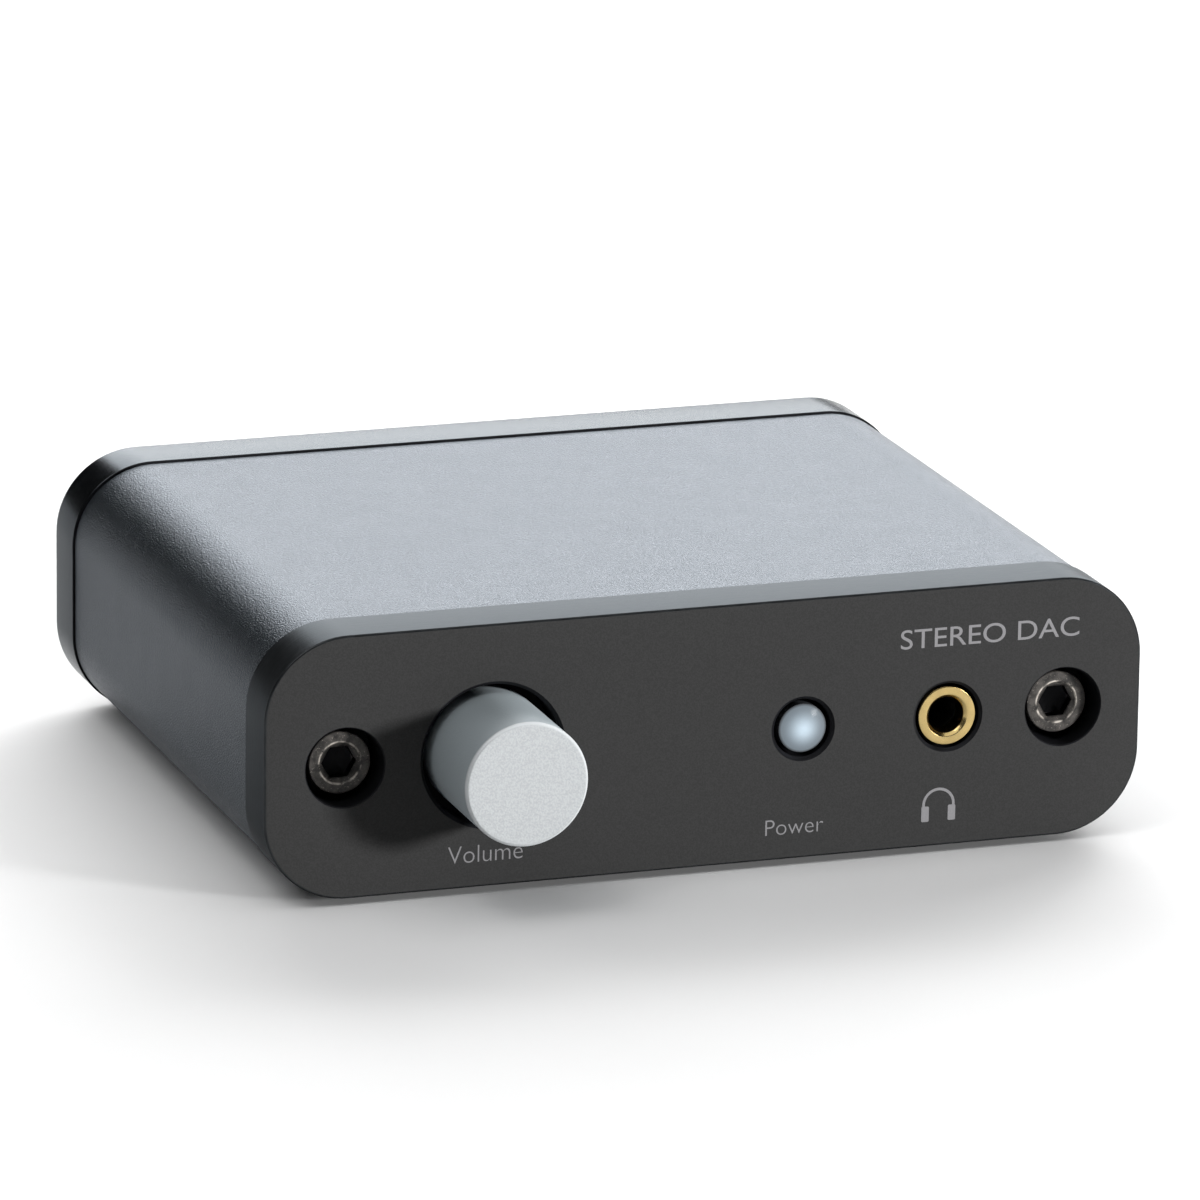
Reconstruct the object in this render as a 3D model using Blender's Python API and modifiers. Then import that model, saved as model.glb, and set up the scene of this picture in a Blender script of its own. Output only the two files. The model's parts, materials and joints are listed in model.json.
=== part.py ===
"""Desktop DAC with headphone output, built as an assembly of separate pieces.

A flattened extruded sleeve is closed by two thick end plates, each held by two
socket head screws. A volume knob, an illuminated power button and a headphone
socket come through the front plate. Two phono sockets, an optical input and a
square data socket come through the rear plate.

Frame: metres, +X to the right seen from the front, +Y towards the rear, +Z up.
The origin is the centre of the bounding box's bottom, between the feet.
"""
import math

import bmesh
import bpy
from mathutils import Matrix, Vector

MM = 0.001

# Case
CASE_WIDTH = 89.0 * MM
CASE_DEPTH = 72.7 * MM
PLATE_HEIGHT = 26.0 * MM
PLATE_THICKNESS = 6.15 * MM
PLATE_CORNER_RADIUS = 8.3 * MM
PLATE_EDGE_FILLET = 0.2 * MM
FLOOR_TO_PLATE = 0.7 * MM
SLEEVE_INSET = 0.2 * MM
SLEEVE_WALL = 2.0 * MM
KNOB_REACH = 10.2 * MM
SOCKET_REACH = 9.0 * MM

# Clearances
GAP = 0.3 * MM
THIN_GAP = 0.1 * MM
RUNNING_GAP = 0.05 * MM
CUT_PAST = 1.0 * MM

# Main planes and the height of the row of controls
FRONT_FACE = KNOB_REACH - (CASE_DEPTH + KNOB_REACH + SOCKET_REACH) / 2
REAR_FACE = FRONT_FACE + CASE_DEPTH
FRONT_PLATE_BACK = FRONT_FACE + PLATE_THICKNESS
REAR_PLATE_INSIDE = REAR_FACE - PLATE_THICKNESS
AXIS_Z = FLOOR_TO_PLATE + PLATE_HEIGHT / 2

# Screws
SCREW_X = 36.5 * MM
SCREW_HEAD_SINK = 1.75 * MM
SCREW_HEAD_RADIUS = 3.1 * MM
SCREW_HEAD_HEIGHT = 2.8 * MM
SCREW_SHANK_RADIUS = 1.75 * MM
SCREW_SHANK_LENGTH = 10.0 * MM
SCREW_HEX_FLATS = 3.0 * MM
SCREW_HEX_DEPTH = 1.9 * MM
SCREW_HEX_MOUTH_RADIUS = 2.08 * MM
COUNTERBORE_RADIUS = 3.91 * MM

# Feet
FOOT_RADIUS = 4.5 * MM
FOOT_X = 30.0 * MM
FOOT_Y = 22.0 * MM

# Circuit board
BOARD_TOP = AXIS_Z - 5.6 * MM
BOARD_THICKNESS = 1.6 * MM
BOARD_HALF_WIDTH = 40.8 * MM
RAIL_INNER_X = 39.3 * MM
RAIL_THICKNESS = 1.2 * MM
BOSS_INNER_X = 33.2 * MM
BOSS_TOP = 3.2 * MM

# Broken edges at the mouths of the front plate's holes
RECESS_CHAMFER = 0.35 * MM
JACK_HOLE_CHAMFER = 0.3 * MM
BUTTON_HOLE_CHAMFER = 0.15 * MM

# Volume control
KNOB_X = -21.72 * MM
KNOB_RADIUS = 6.1 * MM
KNOB_CHAMFER = 0.25 * MM
KNOB_RECESS_RADIUS = 7.32 * MM
KNOB_RECESS_DEPTH = 4.0 * MM
KNOB_LENGTH = 13.6 * MM
KNOB_BORE_RADIUS = 4.5 * MM
KNOB_BORE_DEPTH = 10.6 * MM
SHAFT_RADIUS = 3.0 * MM
SHAFT_TIP_RADIUS = 1.7 * MM
BUSHING_RADIUS = 3.5 * MM
BUSHING_FLANGE_RADIUS = 4.8 * MM
POT_FRONT = FRONT_PLATE_BACK + 2.0 * MM
POT_SIZE = (9.8 * MM, 5.8 * MM)
POT_TOP = AXIS_Z + 5.0 * MM
POT_CAVITY_RADIUS = 4.3 * MM
POT_CAVITY_DEPTH = 4.4 * MM

# Power button and its switch
BUTTON_X = 9.65 * MM
BUTTON_HOLE_RADIUS = 3.05 * MM
BUTTON_RADIUS = 2.42 * MM
BUTTON_RIM_SINK = 0.55 * MM
BUTTON_DOME_HEIGHT = 0.8 * MM
BUTTON_FLANGE_RADIUS = 3.5 * MM
BUTTON_STEM_RADIUS = 1.3 * MM
BUTTON_TRAVEL = 1.5 * MM
SWITCH_FRONT = FRONT_PLATE_BACK + 4.9 * MM
SWITCH_LENGTH = 9.0 * MM
SWITCH_WIDTH = 7.4 * MM
SWITCH_TOP = AXIS_Z + 3.8 * MM
SWITCH_BORE_RADIUS = 2.7 * MM
PLUNGER_RADIUS = 1.2 * MM
PLUNGER_COLLAR_RADIUS = 1.6 * MM
SPRING_RADIUS = 2.15 * MM
SPRING_WIRE_RADIUS = 0.2 * MM
SPRING_TURNS = 4

# Headphone socket
JACK_X = 24.56 * MM
JACK_HOLE_RADIUS = 3.57 * MM
JACK_RING_RADIUS = 2.96 * MM
JACK_RING_SINK = 0.27 * MM
JACK_BORE_RADIUS = 1.8 * MM
JACK_FRONT = FRONT_PLATE_BACK + 1.7 * MM
JACK_LENGTH = 13.4 * MM
JACK_WIDTH = 8.0 * MM
JACK_TOP = AXIS_Z + 4.4 * MM
JACK_THROAT_LENGTH = 2.4 * MM
JACK_SOCKET_RADIUS = 2.6 * MM
JACK_BODY_BORE_RADIUS = 1.9 * MM

# Phono sockets
PHONO_X = {"left": 24.0 * MM, "right": 9.5 * MM}
PHONO_HOLE_RADIUS = 5.25 * MM
PHONO_SHELL_RADIUS = 4.15 * MM
PHONO_SHELL_WALL = 0.5 * MM
PHONO_COLLAR_RADIUS = 4.95 * MM
PHONO_CONTACT_RADIUS = 1.45 * MM
PHONO_CONTACT_WALL = 0.3 * MM
PHONO_BLOCK_SIZE = (28.0 * MM, 7.6 * MM, 11.8 * MM)

# Data socket
DATA_X = -23.0 * MM
DATA_SHELL_SIZE = (12.0 * MM, 15.75 * MM, 10.8 * MM)
DATA_OPENING = (8.45 * MM, 7.8 * MM)
DATA_OPENING_CHAMFER = 1.6 * MM
DATA_CAVITY_DEPTH = 11.5 * MM
DATA_TONGUE = (5.6 * MM, 9.8 * MM, 3.2 * MM)
DATA_CONTACT = (1.0 * MM, 7.0 * MM, 0.25 * MM)
DATA_CONTACT_PITCH = 2.5 * MM

# Optical socket
OPTICAL_X = -7.0 * MM
OPTICAL_SIZE = (9.7 * MM, 13.5 * MM, 10.0 * MM)
OPTICAL_MOUTH = 6.0 * MM
OPTICAL_MOUTH_Z = AXIS_Z - 0.3 * MM
OPTICAL_FRAME = 1.2 * MM
OPTICAL_CAVITY_WIDTH = 6.7 * MM
OPTICAL_CAVITY_TOP = AXIS_Z + 4.1 * MM
OPTICAL_CAVITY_DEPTH = 9.3 * MM
OPTICAL_POCKET_DEPTH = 3.3 * MM
SHUTTER_AXIS_Z = AXIS_Z + 3.3 * MM
SHUTTER_AXIS_SINK = 2.2 * MM
SHUTTER_THICKNESS = 0.7 * MM
SHUTTER_BARREL_RADIUS = 0.75 * MM
SHUTTER_PIN_RADIUS = 0.4 * MM

# Orientation of pieces drawn with local +Z pointing out of a plate
FACING_FRONT = (math.pi / 2, 0, 0)
FACING_REAR = (math.pi / 2, 0, math.pi)
FACING_UP = (0, 0, 0)

# Finishes: base colour (linear), roughness, metallic
FINISHES = {
    "black_anodised": ((0.045, 0.045, 0.047), 0.45, 0.4),
    "blasted_anodised": ((0.16, 0.17, 0.18), 0.45, 0.8),
    "satin_silver": ((0.72, 0.73, 0.74), 0.35, 0.9),
    "black_steel": ((0.06, 0.055, 0.05), 0.4, 0.9),
    "gold": ((0.85, 0.6, 0.25), 0.2, 1.0),
    "steel": ((0.6, 0.6, 0.6), 0.3, 1.0),
    "brass": ((0.75, 0.55, 0.25), 0.3, 1.0),
    "black_plastic": ((0.02, 0.02, 0.022), 0.5, 0.0),
    "white_plastic": ((0.85, 0.85, 0.83), 0.4, 0.0),
    "red_plastic": ((0.55, 0.03, 0.03), 0.4, 0.0),
    "clear_diffuser": ((0.7, 0.78, 0.85), 0.15, 0.0),
    "board_mask": ((0.01, 0.08, 0.03), 0.35, 0.0),
    "carbon": ((0.05, 0.04, 0.035), 0.6, 0.0),
    "rubber": ((0.02, 0.02, 0.02), 0.9, 0.0),
    "can": ((0.7, 0.7, 0.72), 0.25, 1.0),
}


def make_collection(name):
    """New collection in the scene."""
    collection = bpy.data.collections.new(name)
    bpy.context.scene.collection.children.link(collection)
    return collection


def make_material(name, finish):
    """Principled material with one of the named finishes."""
    colour, roughness, metallic = FINISHES[finish]
    material = bpy.data.materials.new(name)
    material.use_nodes = True
    shader = material.node_tree.nodes["Principled BSDF"]
    shader.inputs["Base Color"].default_value = (*colour, 1.0)
    shader.inputs["Roughness"].default_value = roughness
    shader.inputs["Metallic"].default_value = metallic
    return material


def place(name, mesh, location, rotation=FACING_UP, finish=None):
    """Object for a mesh: a piece if it has a finish, else a cutter."""
    item = bpy.data.objects.new(name, mesh)
    item.location = location
    item.rotation_euler = rotation
    if finish is None:
        CUTTERS.objects.link(item)
        item.hide_render = True
        item.display_type = "WIRE"
    else:
        PARTS.objects.link(item)
        mesh.materials.append(make_material(name, finish))
    return item


def read_mesh(item):
    """The mesh of an object with its modifiers or curve settings worked in."""
    bpy.context.view_layer.update()
    depsgraph = bpy.context.evaluated_depsgraph_get()
    return bpy.data.meshes.new_from_object(item.evaluated_get(depsgraph))


def smooth(mesh):
    """Smooth shading that keeps the true edges sharp."""
    mesh.shade_smooth()
    mesh.set_sharp_from_angle(angle=math.radians(35))


def box_mesh(name, size):
    """Mesh of a box centred on its origin."""
    mesh = bpy.data.meshes.new(name)
    solid = bmesh.new()
    bmesh.ops.create_cube(solid, size=1.0, matrix=Matrix.Diagonal((*size, 1.0)))
    solid.to_mesh(mesh)
    solid.free()
    return mesh


def box(name, size, centre, finish=None, chamfer=0.0):
    """Box with its edges lightly broken where a chamfer is given."""
    item = place(name, box_mesh(name, size), centre, finish=finish)
    if chamfer:
        bevel = item.modifiers.new("chamfer", "BEVEL")
        bevel.width = chamfer
        bevel.segments = 1
    return item


def turned_mesh(name, profile, steps, ring=False):
    """Mesh turned about local Z.

    The profile holds (radius, depth) pairs down the outer side, where depth
    grows along local -Z. A ring's profile is closed and stays off the axis.
    """
    mesh = bpy.data.meshes.new(name)
    section = bmesh.new()
    points = [section.verts.new((radius, 0, -depth)) for radius, depth in profile]
    for start, end in zip(points, points[1:]):
        section.edges.new((start, end))
    if ring:
        section.edges.new((points[-1], points[0]))
    section.to_mesh(mesh)
    section.free()
    blank = bpy.data.objects.new(name, mesh)
    PARTS.objects.link(blank)
    screw = blank.modifiers.new("turn", "SCREW")
    screw.angle = math.tau
    screw.steps = steps
    screw.render_steps = steps
    screw.use_merge_vertices = True
    screw.merge_threshold = 0.00001
    result = read_mesh(blank)
    bpy.data.objects.remove(blank)
    bpy.data.meshes.remove(mesh)
    result.name = name
    smooth(result)
    return result


def turned(name, profile, location, facing, finish=None, steps=24):
    """Solid turned about the axis that it faces along."""
    mesh = turned_mesh(name, profile, steps)
    return place(name, mesh, location, facing, finish)


def tube(name, outer, inner, length, location, facing, finish, steps=24):
    """Plain tube that starts at its location and runs inwards."""
    profile = [(inner, 0), (outer, 0), (outer, length), (inner, length)]
    mesh = turned_mesh(name, profile, steps, ring=True)
    return place(name, mesh, location, facing, finish)


def rod(name, radius, length, location, facing, finish=None, steps=24):
    """Plain round bar that starts at its location and runs inwards."""
    profile = [(0, 0), (radius, 0), (radius, length), (0, length)]
    return turned(name, profile, location, facing, finish, steps)


def outline_mesh(name, outlines, thickness):
    """Mesh of flat outlines, the first one solid and the rest holes."""
    curve = bpy.data.curves.new(name, "CURVE")
    curve.dimensions = "2D"
    curve.fill_mode = "BOTH"
    curve.extrude = thickness / 2
    for outline in outlines:
        spline = curve.splines.new("POLY")
        spline.points.add(len(outline) - 1)
        for point, (x, y) in zip(spline.points, outline):
            point.co = (x, y, 0, 1)
        spline.use_cyclic_u = True
    blank = bpy.data.objects.new(name, curve)
    PARTS.objects.link(blank)
    mesh = read_mesh(blank)
    bpy.data.objects.remove(blank)
    bpy.data.curves.remove(curve)
    solid = bmesh.new()
    solid.from_mesh(mesh)
    bmesh.ops.remove_doubles(solid, verts=solid.verts, dist=0.000001)
    bmesh.ops.recalc_face_normals(solid, faces=solid.faces)
    solid.to_mesh(mesh)
    solid.free()
    mesh.name = name
    return mesh


def fillet_front(mesh, thickness, fillet):
    """Round the edge all round the local +Z face of an outline's mesh."""
    solid = bmesh.new()
    solid.from_mesh(mesh)
    bmesh.ops.dissolve_limit(
        solid, angle_limit=math.radians(0.5), verts=solid.verts, edges=solid.edges)
    front = thickness / 2 - THIN_GAP
    rim = [edge for edge in solid.edges if min(vert.co.z for vert in edge.verts) > front]
    bmesh.ops.bevel(
        solid, geom=rim, offset=fillet, segments=3, profile=0.5, affect="EDGES")
    solid.to_mesh(mesh)
    solid.free()


def cut(item, *cutters):
    """Take cutters out of a piece."""
    for cutter in cutters:
        boolean = item.modifiers.new(cutter.name, "BOOLEAN")
        boolean.operation = "DIFFERENCE"
        boolean.object = cutter


def join(item, addition):
    """Make another solid one with a piece."""
    boolean = item.modifiers.new(addition.name, "BOOLEAN")
    boolean.operation = "UNION"
    boolean.object = addition


def arc(centre_x, centre_y, radius, start, end, count=8):
    """Points of an arc between two angles in degrees."""
    points = []
    for index in range(count + 1):
        angle = math.radians(start + (end - start) * index / count)
        points.append((centre_x + radius * math.cos(angle), centre_y + radius * math.sin(angle)))
    return points


def rounded_rectangle(width, height, radius):
    """Outline of a rectangle with round corners, centred on its origin."""
    x = width / 2 - radius
    y = height / 2 - radius
    points = arc(x, y, radius, 0, 90)
    points += arc(-x, y, radius, 90, 180)
    points += arc(-x, -y, radius, 180, 270)
    points += arc(x, -y, radius, 270, 360)
    return points


def channel_side():
    """Right half of the sleeve's inside, from bottom to top.

    A rib below and a screw boss above hold the board's edge between them.
    """
    radius = PLATE_CORNER_RADIUS - SLEEVE_INSET - SLEEVE_WALL
    wall_x = CASE_WIDTH / 2 - SLEEVE_INSET - SLEEVE_WALL
    top = PLATE_HEIGHT / 2 - SLEEVE_INSET - SLEEVE_WALL
    centre_x = wall_x - radius
    centre_y = top - radius
    board_top = BOARD_TOP - AXIS_Z
    rib_top = board_top - BOARD_THICKNESS - GAP
    rib_bottom = rib_top - RAIL_THICKNESS
    boss_bottom = board_top + GAP

    def wall_angle(height):
        return math.degrees(math.asin((height + centre_y) / radius))

    points = arc(centre_x, -centre_y, radius, -90, wall_angle(rib_bottom), 5)
    points += [(RAIL_INNER_X, rib_bottom), (RAIL_INNER_X, rib_top)]
    points += arc(centre_x, -centre_y, radius, wall_angle(rib_top), wall_angle(boss_bottom), 2)
    points += [(BOSS_INNER_X, boss_bottom), (BOSS_INNER_X, BOSS_TOP), (wall_x, BOSS_TOP)]
    points += arc(centre_x, centre_y, radius, 0, 90)
    return points


def build_sleeve():
    """Extruded sleeve with its screw holes running the whole length."""
    length = REAR_PLATE_INSIDE - FRONT_PLATE_BACK - 2 * GAP
    outside = rounded_rectangle(
        CASE_WIDTH - 2 * SLEEVE_INSET, PLATE_HEIGHT - 2 * SLEEVE_INSET,
        PLATE_CORNER_RADIUS - SLEEVE_INSET)
    right = channel_side()
    left = [(-x, y) for x, y in reversed(right)]
    hole = SCREW_SHANK_RADIUS + GAP
    screw_holes = [arc(side * SCREW_X, 0, hole, 0, 337.5, 15) for side in (-1, 1)]
    mesh = outline_mesh("housing_sleeve", [outside, right + left, *screw_holes], length)
    smooth(mesh)
    centre = (0, (FRONT_PLATE_BACK + REAR_PLATE_INSIDE) / 2, AXIS_Z)
    place("housing_sleeve", mesh, centre, FACING_FRONT, "blasted_anodised")


def plate(name, face, facing, inward):
    """End plate with a rounded outer edge, its face in the given plane."""
    outline = rounded_rectangle(CASE_WIDTH, PLATE_HEIGHT, PLATE_CORNER_RADIUS)
    mesh = outline_mesh(name, [outline], PLATE_THICKNESS)
    fillet_front(mesh, PLATE_THICKNESS, PLATE_EDGE_FILLET)
    smooth(mesh)
    centre = (0, face + inward * PLATE_THICKNESS / 2, AXIS_Z)
    item = place(name, mesh, centre, facing, "black_anodised")
    seat = SCREW_HEAD_SINK + SCREW_HEAD_HEIGHT + GAP
    for side in (-1, 1):
        profile = stepped_hole(COUNTERBORE_RADIUS, seat, SCREW_SHANK_RADIUS + GAP)
        cutter = turned(f"{name}_screw_hole{side}", profile, (side * SCREW_X, face, AXIS_Z), facing)
        cut(item, cutter)
    return item


def hole_mouth(radius, chamfer):
    """Start of a hole's profile, whose broken edge is as wide as the radius at the face."""
    if chamfer:
        return [(0, -CUT_PAST), (radius + CUT_PAST, -CUT_PAST), (radius - chamfer, chamfer)]
    return [(0, -CUT_PAST), (radius, -CUT_PAST)]


def stepped_hole(mouth_radius, mouth_depth, through_radius, chamfer=0.0):
    """Profile of a hole through a plate with a wider mouth."""
    past = PLATE_THICKNESS + CUT_PAST
    return hole_mouth(mouth_radius, chamfer) + [
        (mouth_radius - chamfer, mouth_depth), (through_radius, mouth_depth),
        (through_radius, past), (0, past)]


def straight_hole(name, radius, x, face, facing, chamfer=0.0):
    """Cutter for a round hole right through a plate."""
    past = PLATE_THICKNESS + CUT_PAST
    profile = hole_mouth(radius, chamfer) + [(radius - chamfer, past), (0, past)]
    return turned(name, profile, (x, face, AXIS_Z), facing)


def build_front_panel():
    """Front plate with the knob's recess and the button and headphone holes."""
    panel = plate("front_panel", FRONT_FACE, FACING_FRONT, 1)
    recess = stepped_hole(
        KNOB_RECESS_RADIUS, KNOB_RECESS_DEPTH, BUSHING_RADIUS + GAP, RECESS_CHAMFER)
    cut(panel, turned("knob_recess", recess, (KNOB_X, FRONT_FACE, AXIS_Z), FACING_FRONT, steps=40))
    for name, radius, x, chamfer in (
            ("button_hole", BUTTON_HOLE_RADIUS, BUTTON_X, BUTTON_HOLE_CHAMFER),
            ("jack_hole", JACK_HOLE_RADIUS, JACK_X, JACK_HOLE_CHAMFER)):
        cut(panel, straight_hole(name, radius, x, FRONT_FACE, FACING_FRONT, chamfer))


def build_rear_panel():
    """Rear plate with the openings for the sockets."""
    panel = plate("rear_panel", REAR_FACE, FACING_REAR, -1)
    for side, x in PHONO_X.items():
        cut(panel, straight_hole(f"phono_hole_{side}", PHONO_HOLE_RADIUS, x, REAR_FACE, FACING_REAR))
    middle = REAR_FACE - PLATE_THICKNESS / 2
    through = PLATE_THICKNESS + 2 * CUT_PAST
    for name, x, size in (
            ("data_window", DATA_X, DATA_SHELL_SIZE), ("optical_window", OPTICAL_X, OPTICAL_SIZE)):
        width, _, height = size
        centre = (x, middle, BOARD_TOP + GAP + height / 2)
        cut(panel, box(name, (width + 2 * GAP, through, height + 2 * GAP), centre))


def build_screws():
    """Socket head screws that hold the plates to the sleeve."""
    seat = SCREW_HEAD_HEIGHT
    profile = [
        (0, 0.35 * MM), (SCREW_SHANK_RADIUS, 0.35 * MM), (SCREW_HEX_MOUTH_RADIUS, 0),
        (SCREW_HEAD_RADIUS - 0.3 * MM, 0), (SCREW_HEAD_RADIUS, 0.3 * MM),
        (SCREW_HEAD_RADIUS, seat), (SCREW_SHANK_RADIUS, seat),
        (SCREW_SHANK_RADIUS, seat + SCREW_SHANK_LENGTH), (0, seat + SCREW_SHANK_LENGTH)]
    hex_radius = SCREW_HEX_FLATS / math.sqrt(3)
    for end, face, facing, inward in (
            ("front", FRONT_FACE, FACING_FRONT, 1), ("rear", REAR_FACE, FACING_REAR, -1)):
        for side, name in ((-1, "left"), (1, "right")):
            head = (side * SCREW_X, face + inward * SCREW_HEAD_SINK, AXIS_Z)
            screw = turned(f"{end}_screw_{name}", profile, head, facing, "black_steel", 20)
            before = (head[0], head[1] - inward * CUT_PAST, AXIS_Z)
            key = rod(
                f"{end}_hex_{name}", hex_radius, SCREW_HEX_DEPTH + CUT_PAST, before, facing, steps=6)
            cut(screw, key)


def build_feet():
    """Thin round rubber feet under the sleeve."""
    height = FLOOR_TO_PLATE + SLEEVE_INSET - GAP
    edge = 0.4 * MM
    profile = [
        (0, 0), (FOOT_RADIUS, 0), (FOOT_RADIUS, height - edge),
        (FOOT_RADIUS - edge, height), (0, height)]
    for end, y in (("front", -FOOT_Y), ("rear", FOOT_Y)):
        for side, x in (("left", -FOOT_X), ("right", FOOT_X)):
            turned(f"foot_{end}_{side}", profile, (x, y, height), FACING_UP, "rubber")


def build_volume_control():
    """Knob on the shaft of a rotary potentiometer that stands on the board."""
    knob_front = FRONT_FACE - KNOB_REACH
    knob_back = knob_front + KNOB_LENGTH
    bore_floor = KNOB_LENGTH - KNOB_BORE_DEPTH
    knob_profile = [
        (0, 0), (KNOB_RADIUS - KNOB_CHAMFER, 0), (KNOB_RADIUS, KNOB_CHAMFER),
        (KNOB_RADIUS, KNOB_LENGTH - KNOB_CHAMFER), (KNOB_RADIUS - KNOB_CHAMFER, KNOB_LENGTH),
        (KNOB_BORE_RADIUS, KNOB_LENGTH), (KNOB_BORE_RADIUS, bore_floor), (0, bore_floor)]
    turned(
        "volume_knob", knob_profile, (KNOB_X, knob_front, AXIS_Z), FACING_FRONT,
        "satin_silver", steps=40)
    insert_front = knob_front + bore_floor + GAP
    insert_length = KNOB_BORE_DEPTH - GAP - 2.2 * MM
    tube(
        "knob_insert", KNOB_BORE_RADIUS - GAP, SHAFT_RADIUS + GAP, insert_length,
        (KNOB_X, insert_front, AXIS_Z), FACING_FRONT, "white_plastic")

    shaft_front = insert_front + 0.5 * MM
    shoulder = POT_FRONT - 0.4 * MM - shaft_front
    tip = POT_FRONT + 2.6 * MM - shaft_front
    shaft_profile = [
        (0, 0), (SHAFT_RADIUS, 0), (SHAFT_RADIUS, shoulder), (SHAFT_TIP_RADIUS, shoulder),
        (SHAFT_TIP_RADIUS, tip), (0, tip)]
    turned(
        "pot_shaft", shaft_profile, (KNOB_X, shaft_front, AXIS_Z), FACING_FRONT, "steel", steps=32)

    bore = SHAFT_RADIUS + RUNNING_GAP
    bushing_front = knob_back + 2 * GAP
    flange_back = POT_FRONT - GAP - bushing_front
    flange_front = flange_back - 0.8 * MM
    bushing_profile = [
        (bore, 0), (BUSHING_RADIUS, 0), (BUSHING_RADIUS, flange_front),
        (BUSHING_FLANGE_RADIUS, flange_front), (BUSHING_FLANGE_RADIUS, flange_back),
        (bore, flange_back)]
    bushing = turned_mesh("pot_bushing", bushing_profile, 32, ring=True)
    place("pot_bushing", bushing, (KNOB_X, bushing_front, AXIS_Z), FACING_FRONT, "brass")

    width, depth = POT_SIZE
    bottom = BOARD_TOP + GAP
    centre = (KNOB_X, POT_FRONT + depth / 2, (bottom + POT_TOP) / 2)
    housing = box("pot_housing", (width, depth, POT_TOP - bottom), centre, "black_plastic")
    before = (KNOB_X, POT_FRONT - CUT_PAST, AXIS_Z)
    cavity = POT_CAVITY_DEPTH + CUT_PAST
    cut(housing, rod("pot_cavity", POT_CAVITY_RADIUS, cavity, before, FACING_FRONT))
    rotor_bore = SHAFT_TIP_RADIUS + GAP
    inner = POT_CAVITY_RADIUS - GAP
    for name, outer, start, thickness, finish in (
            ("pot_rotor", inner, 0.6 * MM, 1.5 * MM, "white_plastic"),
            ("pot_wiper", 3.4 * MM, 2.4 * MM, 0.3 * MM, "brass"),
            ("pot_track", inner, 3.1 * MM, 0.8 * MM, "carbon")):
        start_point = (KNOB_X, POT_FRONT + start, AXIS_Z)
        tube(name, outer, rotor_bore, thickness, start_point, FACING_FRONT, finish)


def spring_points(radius, length, turns, per_turn=9):
    """Points of a helix along local +Z."""
    count = turns * per_turn
    points = []
    for index in range(count + 1):
        angle = math.tau * index / per_turn
        height = length * index / count
        points.append(Vector((radius * math.cos(angle), radius * math.sin(angle), height)))
    return points


def wire_mesh(name, points, radius):
    """Mesh of a round wire through points."""
    curve = bpy.data.curves.new(name, "CURVE")
    curve.dimensions = "3D"
    curve.bevel_depth = radius
    curve.bevel_resolution = 2
    curve.use_fill_caps = True
    spline = curve.splines.new("POLY")
    spline.points.add(len(points) - 1)
    for target, point in zip(spline.points, points):
        target.co = (*point, 1)
    blank = bpy.data.objects.new(name, curve)
    PARTS.objects.link(blank)
    mesh = read_mesh(blank)
    bpy.data.objects.remove(blank)
    bpy.data.curves.remove(curve)
    solid = bmesh.new()
    solid.from_mesh(mesh)
    bmesh.ops.remove_doubles(solid, verts=solid.verts, dist=0.000001)
    bmesh.ops.recalc_face_normals(solid, faces=solid.faces)
    solid.to_mesh(mesh)
    solid.free()
    mesh.name = name
    return mesh


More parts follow.
